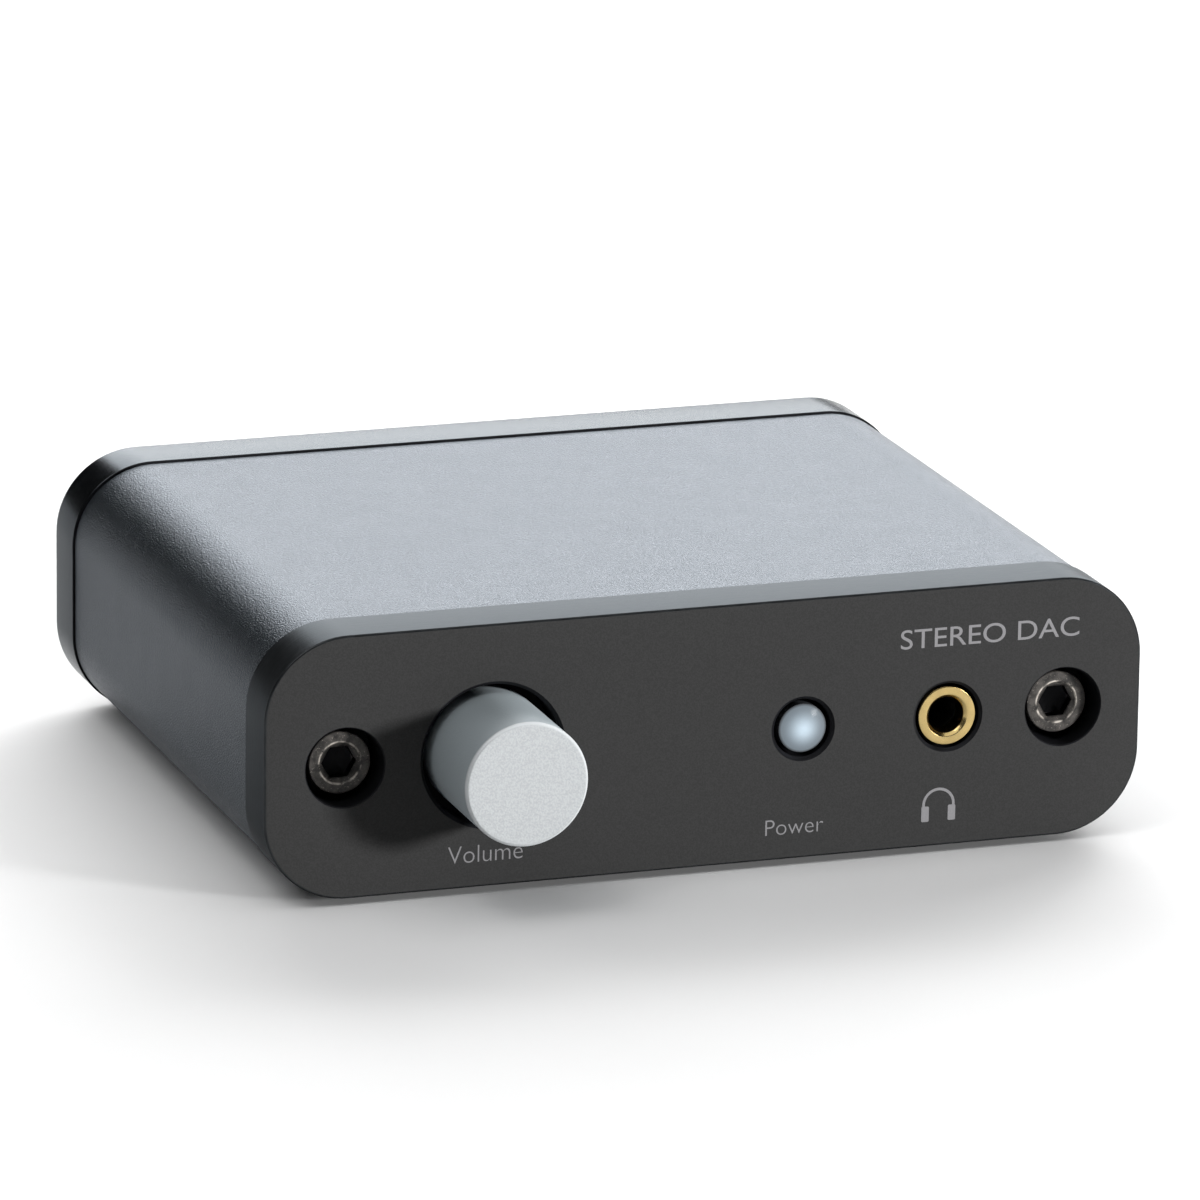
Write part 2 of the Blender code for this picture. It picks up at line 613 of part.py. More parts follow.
def build_power_control():
    """Domed light pipe that pushes the plunger of a switch behind it."""
    rim = FRONT_FACE + BUTTON_RIM_SINK
    apex = rim - BUTTON_DOME_HEIGHT
    dome_radius = (BUTTON_RADIUS ** 2 + BUTTON_DOME_HEIGHT ** 2) / (2 * BUTTON_DOME_HEIGHT)
    half_angle = math.degrees(math.asin(BUTTON_RADIUS / dome_radius))
    dome = arc(0, -dome_radius, dome_radius, 90, 90 - half_angle, 6)
    profile = [(0, 0)] + [(radius, -height) for radius, height in dome[1:]]
    flange_front = FRONT_PLATE_BACK + GAP - apex
    flange_back = flange_front + 0.8 * MM
    stem_back = SWITCH_FRONT - BUTTON_TRAVEL - 0.9 * MM - apex
    profile += [
        (BUTTON_RADIUS, flange_front), (BUTTON_FLANGE_RADIUS, flange_front),
        (BUTTON_FLANGE_RADIUS, flange_back), (BUTTON_STEM_RADIUS, flange_back),
        (BUTTON_STEM_RADIUS, stem_back), (0, stem_back)]
    turned("power_button", profile, (BUTTON_X, apex, AXIS_Z), FACING_FRONT, "clear_diffuser")

    bottom = BOARD_TOP + GAP
    centre = (BUTTON_X, SWITCH_FRONT + SWITCH_LENGTH / 2, (bottom + SWITCH_TOP) / 2)
    size = (SWITCH_WIDTH, SWITCH_LENGTH, SWITCH_TOP - bottom)
    body = box("switch_body", size, centre, "black_plastic")
    before = (BUTTON_X, SWITCH_FRONT - CUT_PAST, AXIS_Z)
    bore_depth = SWITCH_LENGTH - 1.2 * MM
    cut(body, rod("switch_bore", SWITCH_BORE_RADIUS, bore_depth + CUT_PAST, before, FACING_FRONT))

    plunger_front = apex + stem_back + GAP
    collar = SWITCH_FRONT + 0.8 * MM - plunger_front
    plunger_back = collar + 4.6 * MM
    plunger_profile = [
        (0, 0), (PLUNGER_RADIUS, 0), (PLUNGER_RADIUS, collar), (PLUNGER_COLLAR_RADIUS, collar),
        (PLUNGER_COLLAR_RADIUS, collar + 1.0 * MM), (PLUNGER_RADIUS, collar + 1.0 * MM),
        (PLUNGER_RADIUS, plunger_back), (0, plunger_back)]
    turned(
        "switch_plunger", plunger_profile, (BUTTON_X, plunger_front, AXIS_Z), FACING_FRONT,
        "white_plastic")

    spring_back = (BUTTON_X, SWITCH_FRONT + bore_depth - 2 * GAP, AXIS_Z)
    points = spring_points(SPRING_RADIUS, 5.0 * MM, SPRING_TURNS)
    mesh = wire_mesh("switch_spring", points, SPRING_WIRE_RADIUS)
    smooth(mesh)
    place("switch_spring", mesh, spring_back, FACING_FRONT, "steel")

    led_size = Vector((1.6, 0.8, 0.6)) * MM
    led_centre = (BUTTON_X, FRONT_PLATE_BACK + 2.6 * MM, bottom + led_size.z / 2)
    box("power_led", led_size, led_centre, "clear_diffuser")


def build_headphone_socket():
    """Gold bushing in the plate, and the body whose nose fits it from behind."""
    ring_front = FRONT_FACE + JACK_RING_SINK
    length = JACK_FRONT - GAP - ring_front
    edge = 0.2 * MM
    profile = [
        (JACK_BORE_RADIUS, edge), (JACK_BORE_RADIUS + edge, 0), (JACK_RING_RADIUS - edge, 0),
        (JACK_RING_RADIUS, edge), (JACK_RING_RADIUS, length), (JACK_SOCKET_RADIUS, length),
        (JACK_SOCKET_RADIUS, JACK_THROAT_LENGTH), (JACK_BORE_RADIUS, JACK_THROAT_LENGTH)]
    mesh = turned_mesh("headphone_jack_bushing", profile, 32, ring=True)
    place(
        "headphone_jack_bushing", mesh, (JACK_X, ring_front, AXIS_Z), FACING_FRONT, "gold")

    bottom = BOARD_TOP + GAP
    centre = (JACK_X, JACK_FRONT + JACK_LENGTH / 2, (bottom + JACK_TOP) / 2)
    size = (JACK_WIDTH, JACK_LENGTH, JACK_TOP - bottom)
    body = box("headphone_jack_body", size, centre, "black_plastic")
    nose_front = ring_front + JACK_THROAT_LENGTH + GAP
    nose_length = JACK_FRONT + CUT_PAST - nose_front
    nose = (JACK_X, nose_front, AXIS_Z)
    join(body, rod("jack_nose", JACK_SOCKET_RADIUS - GAP, nose_length, nose, FACING_FRONT))
    before = (JACK_X, nose_front - CUT_PAST, AXIS_Z)
    bore_depth = JACK_FRONT + JACK_LENGTH - 0.8 * MM - before[1]
    cut(body, rod("jack_bore", JACK_BODY_BORE_RADIUS, bore_depth, before, FACING_FRONT))

    leaf = Vector((0.25, 3.2, 1.4)) * MM
    pocket = Vector((3.2, 4.0, 2.2)) * MM
    for name, side, depth in (
            ("sleeve", 1, 2.6 * MM), ("ring", -1, 6.2 * MM), ("tip", 1, 10.2 * MM)):
        y = JACK_FRONT + depth
        window = (JACK_X + side * (1.8 * MM + pocket.x / 2), y, AXIS_Z)
        cut(body, box(f"jack_{name}_window", pocket, window))
        spot = (JACK_X + side * (JACK_BODY_BORE_RADIUS + leaf.x / 2), y, AXIS_Z)
        box(f"headphone_{name}_contact", leaf, spot, "gold")


def build_phono_sockets():
    """Pair of phono sockets on one block behind the rear plate."""
    width, depth, height = PHONO_BLOCK_SIZE
    block_rear = REAR_PLATE_INSIDE - 0.8 * MM
    middle_x = sum(PHONO_X.values()) / 2
    centre = (middle_x, block_rear - depth / 2, BOARD_TOP + GAP + height / 2)
    block = box("phono_block", PHONO_BLOCK_SIZE, centre, "black_plastic")
    seat_depth = 6.2 * MM
    shell_end = REAR_FACE + SOCKET_REACH
    shell_start = block_rear - seat_depth + GAP
    insulator_radius = PHONO_SHELL_RADIUS - PHONO_SHELL_WALL - GAP
    contact_bore = PHONO_CONTACT_RADIUS + GAP
    for (side, x), colour in zip(PHONO_X.items(), ("white_plastic", "red_plastic")):
        before = (x, block_rear + CUT_PAST, AXIS_Z)
        profile = [
            (0, 0), (PHONO_SHELL_RADIUS + GAP, 0), (PHONO_SHELL_RADIUS + GAP, seat_depth + CUT_PAST),
            (contact_bore, seat_depth + CUT_PAST), (contact_bore, depth + 2 * CUT_PAST),
            (0, depth + 2 * CUT_PAST)]
        cut(block, turned(f"phono_seat_{side}", profile, before, FACING_REAR))
        rim = 0.2 * MM
        inner = PHONO_SHELL_RADIUS - PHONO_SHELL_WALL
        length = shell_end - shell_start
        shell = turned_mesh(
            f"phono_shell_{side}",
            [(inner, 0), (PHONO_SHELL_RADIUS - rim, 0), (PHONO_SHELL_RADIUS, rim),
             (PHONO_SHELL_RADIUS, length), (inner, length)],
            24, ring=True)
        place(f"phono_shell_{side}", shell, (x, shell_end, AXIS_Z), FACING_REAR, "gold")
        collar_rear = REAR_FACE + 1.0 * MM
        tube(
            f"phono_collar_{side}", PHONO_COLLAR_RADIUS, PHONO_SHELL_RADIUS + GAP,
            collar_rear - block_rear - GAP, (x, collar_rear, AXIS_Z), FACING_REAR, colour)
        insulator_end = shell_end - 0.5 * MM
        tube(
            f"phono_insulator_{side}", insulator_radius, contact_bore,
            insulator_end - shell_start, (x, insulator_end, AXIS_Z), FACING_REAR, colour)
        contact_end = shell_end - 1.5 * MM
        tube(
            f"phono_contact_{side}", PHONO_CONTACT_RADIUS, PHONO_CONTACT_RADIUS - PHONO_CONTACT_WALL,
            contact_end - shell_start, (x, contact_end, AXIS_Z), FACING_REAR, "gold", 16)


def build_data_socket():
    """Square data socket: metal shell, tongue and four contacts."""
    width, depth, height = DATA_SHELL_SIZE
    rear = REAR_FACE - GAP
    centre_z = BOARD_TOP + GAP + height / 2
    shell = box(
        "data_socket_shell", DATA_SHELL_SIZE, (DATA_X, rear - depth / 2, centre_z), "steel",
        chamfer=0.4 * MM)
    half = DATA_OPENING[0] / 2
    top = DATA_OPENING[1] / 2
    corner = DATA_OPENING_CHAMFER
    opening = [
        (-half, -top), (half, -top), (half, top - corner), (half - corner, top),
        (-half + corner, top), (-half, top - corner)]
    mesh = outline_mesh("data_opening", [opening], DATA_CAVITY_DEPTH + CUT_PAST)
    middle = rear - (DATA_CAVITY_DEPTH - CUT_PAST) / 2
    cut(shell, place("data_opening", mesh, (DATA_X, middle, centre_z), FACING_FRONT))

    tongue_y = rear - DATA_CAVITY_DEPTH + GAP + DATA_TONGUE[1] / 2
    box("data_socket_tongue", DATA_TONGUE, (DATA_X, tongue_y, centre_z), "white_plastic", 0.2 * MM)
    lift = DATA_TONGUE[2] / 2 + THIN_GAP + DATA_CONTACT[2] / 2
    number = 0
    for above in (1, -1):
        for side in (-1, 1):
            number += 1
            spot = (
                DATA_X + side * DATA_CONTACT_PITCH / 2, tongue_y + 0.6 * MM,
                centre_z + above * lift)
            box(f"data_socket_contact_{number}", DATA_CONTACT, spot, "gold")


def build_optical_socket():
    """Optical input with a spring-loaded dust shutter hung from a pin."""
    width, depth, height = OPTICAL_SIZE
    rear = REAR_FACE - GAP
    centre = (OPTICAL_X, rear - depth / 2, BOARD_TOP + GAP + height / 2)
    housing = box("optical_housing", OPTICAL_SIZE, centre, "black_plastic")

    mouth = (OPTICAL_MOUTH, OPTICAL_FRAME + 2 * CUT_PAST, OPTICAL_MOUTH)
    mouth_centre = (OPTICAL_X, rear - OPTICAL_FRAME / 2, OPTICAL_MOUTH_Z)
    bottom = OPTICAL_MOUTH_Z - OPTICAL_MOUTH / 2 - GAP
    inner_depth = OPTICAL_CAVITY_DEPTH - OPTICAL_FRAME
    cavity = (OPTICAL_CAVITY_WIDTH, inner_depth, OPTICAL_CAVITY_TOP - bottom)
    cavity_centre = (
        OPTICAL_X, rear - OPTICAL_FRAME - inner_depth / 2, (OPTICAL_CAVITY_TOP + bottom) / 2)
    pocket = (OPTICAL_CAVITY_WIDTH, OPTICAL_POCKET_DEPTH + CUT_PAST, OPTICAL_CAVITY_WIDTH)
    inside = rear - depth
    pocket_centre = (
        OPTICAL_X, inside + (OPTICAL_POCKET_DEPTH - CUT_PAST) / 2, OPTICAL_MOUTH_Z)
    pin_y = rear - SHUTTER_AXIS_SINK
    cut(
        housing,
        box("optical_mouth", mouth, mouth_centre),
        box("optical_cavity", cavity, cavity_centre),
        box("optical_pocket", pocket, pocket_centre),
        rod("optical_lens_hole", 1.6 * MM, 3.0 * MM, (OPTICAL_X, inside + 5.2 * MM, OPTICAL_MOUTH_Z),
            FACING_REAR),
        pin_rod("optical_pin_hole", SHUTTER_PIN_RADIUS + GAP, width + 2 * CUT_PAST, pin_y))

    sensor_size = Vector((6.0, 2.4, 6.0)) * MM
    sensor_y = inside + OPTICAL_POCKET_DEPTH - GAP - sensor_size.y / 2
    box("optical_sensor", sensor_size, (OPTICAL_X, sensor_y, OPTICAL_MOUTH_Z), "carbon")
    pin_rod("optical_shutter_pin", SHUTTER_PIN_RADIUS, width - 2 * GAP, pin_y, "steel")
    build_shutter(pin_y)


def pin_rod(name, radius, length, y, finish=None):
    """Round bar along X on the shutter's axis."""
    mesh = turned_mesh(name, [(0, 0), (radius, 0), (radius, length), (0, length)], 16)
    item = place(name, mesh, (OPTICAL_X + length / 2, y, SHUTTER_AXIS_Z), finish=finish)
    item.rotation_euler = (0, math.pi / 2, 0)
    return item


def build_shutter(pin_y):
    """Flap below a barrel, as one outline drawn across the pin."""
    half = SHUTTER_THICKNESS / 2
    start = math.degrees(math.asin(half / SHUTTER_BARREL_RADIUS))
    drop = SHUTTER_AXIS_Z - (OPTICAL_MOUTH_Z - OPTICAL_MOUTH / 2)
    outline = arc(0, 0, SHUTTER_BARREL_RADIUS, -90 + start, 270 - start, 15)
    outline += [(-half, -drop), (half, -drop)]
    bore = arc(0, 0, SHUTTER_PIN_RADIUS + RUNNING_GAP, 0, 337.5, 15)
    mesh = outline_mesh("optical_shutter", [outline, bore], OPTICAL_CAVITY_WIDTH - 2 * GAP)
    smooth(mesh)
    centre = (OPTICAL_X, pin_y, SHUTTER_AXIS_Z)
    place("optical_shutter", mesh, centre, (math.pi / 2, 0, math.pi / 2), "black_plastic")


def build_board():
    """Circuit board in the sleeve's rails with its main components."""
    front = FRONT_PLATE_BACK + 0.8 * MM
    rear = REAR_PLATE_INSIDE - 0.9 * MM
    size = (2 * BOARD_HALF_WIDTH, rear - front, BOARD_THICKNESS)
    centre = (0, (front + rear) / 2, BOARD_TOP - BOARD_THICKNESS / 2)
    box("main_board", size, centre, "board_mask")
    bottom = BOARD_TOP + GAP
    for name, x, y, size, finish in (
            ("data_receiver_chip", -22, 9, (7.0, 7.0, 0.9), "carbon"),
            ("converter_chip", 0, 2, (6.5, 6.5, 1.2), "carbon"),
            ("headphone_amplifier_chip", 22, -5, (5.0, 5.0, 1.2), "carbon"),
            ("voltage_regulator", -6, -12, (6.5, 3.5, 1.6), "carbon"),
            ("clock_crystal", -11, 10, (7.0, 4.0, 3.4), "can")):
        height = size[2] * MM
        spot = (x * MM, y * MM, bottom + height / 2)
        box(name, Vector(size) * MM, spot, finish, 0.15 * MM)
    height = 7.7 * MM
    spots = ((-30, -8), (-30, 1), (20, 9), (28, 9))
    for number, (x, y) in enumerate(spots, start=1):
        top = (x * MM, y * MM, bottom + height)
        rod(f"capacitor_{number}", 3.15 * MM, height, top, FACING_UP, "can", 20)


for old in list(bpy.data.objects):
    bpy.data.objects.remove(old)
PARTS = make_collection("desktop_dac")
CUTTERS = make_collection("desktop_dac_cutters")
build_sleeve()
build_front_panel()
build_rear_panel()
build_screws()
build_feet()
build_volume_control()
build_power_control()
build_headphone_socket()
build_phono_sockets()
build_data_socket()
build_optical_socket()
build_board()
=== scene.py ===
"""Looks of the desktop DAC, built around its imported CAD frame.

All lengths are metres in the frame of the CAD model: +X right seen from the
front, +Y to the rear, +Z up. The visible pieces are remade with fine meshes in
the places that the frame gives, and every surface gets a procedural material.
"""

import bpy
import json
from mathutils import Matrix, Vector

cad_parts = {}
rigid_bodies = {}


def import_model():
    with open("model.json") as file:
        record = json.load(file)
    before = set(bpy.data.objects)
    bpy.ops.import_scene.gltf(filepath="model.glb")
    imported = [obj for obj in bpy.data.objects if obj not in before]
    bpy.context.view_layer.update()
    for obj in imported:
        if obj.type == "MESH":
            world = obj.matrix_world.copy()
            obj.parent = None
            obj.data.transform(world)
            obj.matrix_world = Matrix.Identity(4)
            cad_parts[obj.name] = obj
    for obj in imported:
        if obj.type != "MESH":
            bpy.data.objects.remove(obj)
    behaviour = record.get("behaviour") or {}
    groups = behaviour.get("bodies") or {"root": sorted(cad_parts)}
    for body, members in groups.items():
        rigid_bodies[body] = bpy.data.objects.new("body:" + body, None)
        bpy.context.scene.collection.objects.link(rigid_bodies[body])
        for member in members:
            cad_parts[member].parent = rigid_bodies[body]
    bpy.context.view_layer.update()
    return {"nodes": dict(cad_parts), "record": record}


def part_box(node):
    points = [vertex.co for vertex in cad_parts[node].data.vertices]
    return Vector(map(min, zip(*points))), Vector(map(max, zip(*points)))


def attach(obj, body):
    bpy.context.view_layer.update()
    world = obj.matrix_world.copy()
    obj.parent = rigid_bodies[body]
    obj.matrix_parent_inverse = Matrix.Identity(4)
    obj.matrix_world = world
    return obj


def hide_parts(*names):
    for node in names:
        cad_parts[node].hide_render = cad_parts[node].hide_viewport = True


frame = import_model()

import json
import math

import bmesh
import bpy
from mathutils import Matrix, Vector

MM = 0.001
STEPS = 96  # points round a circle
CORNER_STEPS = 20  # sides round a quarter turn of a rounded outline
TINY = 1e-7  # a radius or length below this is a point

# Holes, walls and broken edges that the boxes of the CAD nodes don't give
PLATE_CORNER_RADIUS = 8.3 * MM
PLATE_FILLET = 0.2 * MM
PLATE_BACK_BREAK = 0.04 * MM
SLEEVE_BREAK = 0.03 * MM
SLEEVE_WALL = 2.0 * MM
COUNTERBORE_RADIUS = 3.91 * MM
COUNTERBORE_DEPTH = 4.85 * MM
SCREW_HOLE_RADIUS = 2.05 * MM
SCREW_HOLE_BREAK = 0.1 * MM
RECESS_RADIUS = 7.32 * MM
RECESS_DEPTH = 4.0 * MM
RECESS_CHAMFER = 0.35 * MM
BUSHING_HOLE_RADIUS = 3.8 * MM
BUTTON_HOLE_RADIUS = 3.25 * MM
BUTTON_HOLE_CHAMFER = 0.35 * MM
JACK_HOLE_RADIUS = 3.57 * MM
JACK_HOLE_CHAMFER = 0.3 * MM
JACK_BORE_RADIUS = 1.8 * MM
JACK_THROAT_LENGTH = 2.4 * MM
JACK_SOCKET_RADIUS = 2.6 * MM
PHONO_HOLE_RADIUS = 5.25 * MM
PHONO_SHELL_WALL = 0.5 * MM
WINDOW_GAP = 0.3 * MM
KNOB_EDGE = 0.25 * MM
KNOB_BORE_RADIUS = 4.5 * MM
KNOB_BORE_DEPTH = 10.6 * MM
HEX_FLATS = 3.0 * MM
HEX_DEPTH = 1.9 * MM
HEX_MOUTH_RADIUS = 2.08 * MM
SHANK_RADIUS = 1.75 * MM
SCREW_HEAD_HEIGHT = 2.8 * MM
DATA_OPENING = (8.45 * MM, 7.8 * MM)
DATA_OPENING_CHAMFER = 1.6 * MM
DATA_CAVITY_DEPTH = 11.5 * MM
RAIL_THICKNESS = 1.2 * MM
RAIL_REACH = 2.85 * MM
BOSS_REACH = 8.95 * MM
BOSS_TOP = 3.2 * MM
DOME_RADIUS = 2.42 * MM
DOME_RISE = 0.55 * MM
FOOT_EDGE = 0.45 * MM
INK_THICKNESS = 0.02 * MM

# Lettering on the front face: heights from the middle of the plate
LOWER_LINE = -10.5 * MM
TITLE_LINE = 7.1 * MM
THIN_STROKE = -0.014

# Camera, lamps and floor
CAMERA_PLACE = Vector((-286.37, -829.28, 264.95)) * MM
CAMERA_FORWARD = Vector((0.31532, 0.90938, -0.27129))
CAMERA_ROLL = math.radians(0.771)
CAMERA_LENS = 275.4
SENSOR_WIDTH = 36.0
FLOOR_SIZE = 12.0
BRIGHT_SIDE = Vector((-0.75, -0.6, 0.27))
KEY_PLACE = Vector((1.3, -1.4, 0.34))
KEY_TARGET = (0, 0, 0.014)
KEY_SIZE = (0.26, 0.22)
GLINT_SIZE = (0.4, 0.34)
SOFT_LIGHTS = (
    # name, place, width, height, radiance
    ("backdrop_light", (0.375, 0.96, 0.54), 0.92, 0.8, 7.3),
    ("rear_top_light", (-0.4, 0.6, 0.95), 0.8, 0.8, 1.0),
    ("rear_right_light", (1.1, 0.9, 0.45), 0.5, 0.6, 4.3),
    ("rear_right_high_light", (0.9, 0.8, 0.9), 0.6, 0.6, 4.5),
    ("rear_left_light", (-1.1, 0.9, 0.5), 0.5, 0.6, 1.3),
    ("front_top_light", (0, -0.35, 1.3), 1.4, 1.3, 1.1),
    ("left_top_light", (-0.7, -0.2, 1.1), 0.7, 0.7, 2.8),
)


def box_of(node):
    """Low corner, high corner and centre of a CAD node."""
    low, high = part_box(node)
    return low, high, (low + high) / 2


# ---------------------------------------------------------------- materials


class Surface:
    """A Principled material whose colour, roughness and bump come from nodes."""

    def __init__(self, name, colour, roughness, metallic=0.0):
        self.material = bpy.data.materials.new(name)
        self.material.use_nodes = True
        self.tree = self.material.node_tree
        self.shader = self.tree.nodes["Principled BSDF"]
        self.shader.inputs["Metallic"].default_value = metallic
        self.coordinates = self.tree.nodes.new("ShaderNodeTexCoord").outputs["Object"]
        self.colour = colour
        self.roughness = roughness
        self.height = None
        self.shader.inputs["Base Color"].default_value = (*colour, 1)
        self.shader.inputs["Roughness"].default_value = roughness

    def put(self, **values):
        """Set constants straight on the shader's sockets."""
        for socket, value in values.items():
            self.shader.inputs[socket.replace("_", " ")].default_value = value
        return self

    def moved(self, centre, scale=(1, 1, 1)):
        """Coordinates measured from a centre."""
        shift = self.tree.nodes.new("ShaderNodeVectorMath")
        shift.operation = "SUBTRACT"
        self.tree.links.new(self.coordinates, shift.inputs[0])
        shift.inputs[1].default_value = centre
        stretch = self.tree.nodes.new("ShaderNodeVectorMath")
        stretch.operation = "MULTIPLY"
        self.tree.links.new(shift.outputs[0], stretch.inputs[0])
        stretch.inputs[1].default_value = scale
        return stretch.outputs[0]

    def noise(self, size, detail, coordinates=None, roughness=0.5):
        """Noise whose features are about one size across."""
        node = self.tree.nodes.new("ShaderNodeTexNoise")
        node.inputs["Scale"].default_value = 1.0 / size
        node.inputs["Detail"].default_value = detail
        node.inputs["Roughness"].default_value = roughness
        self.tree.links.new(coordinates or self.coordinates, node.inputs["Vector"])
        return node.outputs["Fac"]

    def cells(self, size):
        """Distance to the nearest of scattered points about one size apart."""
        node = self.tree.nodes.new("ShaderNodeTexVoronoi")
        node.inputs["Scale"].default_value = 1.0 / size
        self.tree.links.new(self.coordinates, node.inputs["Vector"])
        return node.outputs["Distance"]

    def math(self, operation, first, second=0.0, third=None, clamp=False):
        """One math node."""
        node = self.tree.nodes.new("ShaderNodeMath")
        node.operation = operation
        node.use_clamp = clamp
        values = [first, second] if third is None else [first, second, third]
        for socket, value in zip(node.inputs, values):
            if isinstance(value, (int, float)):
                socket.default_value = value
            else:
                self.tree.links.new(value, socket)
        return node.outputs[0]

    def spread(self, value, low, high, to_low=0.0, to_high=1.0, smooth=False):
        """A value mapped from one range to another."""
        node = self.tree.nodes.new("ShaderNodeMapRange")
        if smooth:
            node.interpolation_type = "SMOOTHSTEP"
        self.tree.links.new(value, node.inputs["Value"])
        for socket, number in zip(
                ("From Min", "From Max", "To Min", "To Max"), (low, high, to_low, to_high)):
            node.inputs[socket].default_value = number
        return node.outputs[0]

    def from_axis(self, centre):
        """Distance from an axis along Y through a centre."""
        flat = self.moved(centre, (1, 0, 1))
        node = self.tree.nodes.new("ShaderNodeVectorMath")
        node.operation = "LENGTH"
        self.tree.links.new(flat, node.inputs[0])
        return node.outputs["Value"]

    def depth_from(self, y):
        """Distance along Y from a face."""
        parts = self.tree.nodes.new("ShaderNodeSeparateXYZ")
        self.tree.links.new(self.coordinates, parts.inputs[0])
        return self.math("ABSOLUTE", self.math("SUBTRACT", parts.outputs["Y"], y))

    def tint(self, factor, second, first=None):
        """Base colour that goes from the first colour to the second."""
        node = self.tree.nodes.new("ShaderNodeMix")
        node.data_type = "RGBA"
        self.tree.links.new(factor, node.inputs["Factor"])
        colours = [socket for socket in node.inputs if socket.type == "RGBA"]
        if first is None:
            base = self.shader.inputs["Base Color"]
            if base.is_linked:
                self.tree.links.new(base.links[0].from_socket, colours[0])
            else:
                colours[0].default_value = (*self.colour, 1)
        else:
            colours[0].default_value = (*first, 1)
        colours[1].default_value = (*second, 1)
        result = [socket for socket in node.outputs if socket.type == "RGBA"][0]
        self.tree.links.new(result, self.shader.inputs["Base Color"])
        return self

    def gloss(self, factor, low, high):
        """Roughness that goes from low to high with a factor."""
        self.tree.links.new(
            self.spread(factor, 0.25, 0.75, low, high), self.shader.inputs["Roughness"])
        return self

    def relief(self, height, depth):
        """Bump of a depth in metres, stacked on any earlier one."""
        node = self.tree.nodes.new("ShaderNodeBump")
        node.inputs["Distance"].default_value = depth
        self.tree.links.new(height, node.inputs["Height"])
        if self.height is not None:
            self.tree.links.new(self.height, node.inputs["Normal"])
        self.height = node.outputs["Normal"]
        self.tree.links.new(self.height, self.shader.inputs["Normal"])
        return self


def shade(colour, factor):
    """A colour made lighter or darker."""
    return tuple(min(1.0, part * factor) for part in colour)


def anodised(name, colour, roughness, metallic, grain, grain_depth, mottle):
    """Blasted and anodised aluminium with fine grain and faint specks."""
    surface = Surface(name, colour, roughness, metallic)
    specks = surface.noise(grain, 1.0)
    surface.tint(
        surface.spread(specks, 0.35, 0.65), shade(colour, 1 + mottle), shade(colour, 1 - mottle))
    surface.gloss(surface.noise(4.0 * MM, 3.0), roughness * 0.96, roughness * 1.04)
    surface.relief(surface.noise(grain, 2.0), grain_depth)
    return surface


def machined_edge(name, colour, roughness, grazing):
    """Edge of an anodised plate, milled along its outline."""
    surface = Surface(name, colour, roughness, 0.95)
    streaks = surface.noise(2.2 * MM, 3.0, surface.moved((0, 0, 0), (1, 9, 1)))
    surface.tint(surface.spread(streaks, 0.3, 0.7), shade(colour, 1.3), shade(colour, 0.75))
    surface.gloss(streaks, roughness * 0.9, roughness * 1.12)
    surface.relief(streaks, 0.006 * MM)
    surface.relief(surface.noise(0.15 * MM, 2.0), 0.003 * MM)
    surface.put(Specular_Tint=(0.975 * grazing, grazing, 1.018 * grazing, 1))
    return surface


def bore_painted_shade(name):
    """Bores and inner side of an anodised plate, with cutter marks, coloured near black as painted
    shade in the holes and on the step where the plate meets the sleeve.
    """
    surface = Surface(name, (0.006, 0.0063, 0.007), 0.5)
    marks = surface.noise(0.3 * MM, 3.0, surface.moved((0, 0, 0), (0.15, 1, 0.15)))
    surface.tint(surface.spread(marks, 0.3, 0.7), (0.009, 0.0095, 0.011), (0.004, 0.004, 0.0045))
    surface.gloss(marks, 0.44, 0.6)
    surface.relief(marks, 0.004 * MM)
    surface.put(IOR=1.15)
    return surface


def turned_metal(name, colour, roughness, centre, pitch, depth):
    """Metal with fine turning rings about an axis along Y."""
    surface = Surface(name, colour, roughness, 1.0)
    distance = surface.from_axis(centre)
    rings = surface.math("SINE", surface.math("MULTIPLY", distance, math.tau / pitch))
    surface.tint(
        surface.spread(surface.noise(1.2 * MM, 3.0), 0.35, 0.7), shade(colour, 0.9),
        shade(colour, 1.04))
    surface.gloss(surface.noise(0.4 * MM, 3.0), roughness * 0.9, roughness * 1.15)
    surface.relief(rings, depth)
    return surface


def moulded(name, colour, roughness, grain=0.35 * MM):
    """Moulded plastic with a faint orange peel and uneven gloss."""
    surface = Surface(name, colour, roughness)
    surface.tint(
        surface.spread(surface.noise(2.5 * MM, 3.0), 0.3, 0.7), shade(colour, 1.12),
        shade(colour, 0.92))
    surface.gloss(surface.noise(1.2 * MM, 3.0), roughness * 0.9, roughness * 1.15)
    surface.relief(surface.noise(grain, 3.0), 0.006 * MM)
    return surface


def rubber(name):
    """Matt black rubber with a pebbled skin."""
    colour = (0.018, 0.018, 0.019)
    surface = Surface(name, colour, 0.8)
    surface.tint(
        surface.spread(surface.noise(1.0 * MM, 4.0), 0.35, 0.7), (0.035, 0.034, 0.033), colour)
    surface.gloss(surface.noise(0.5 * MM, 3.0), 0.7, 0.9)
    surface.relief(surface.cells(0.28 * MM), 0.02 * MM)
    return surface


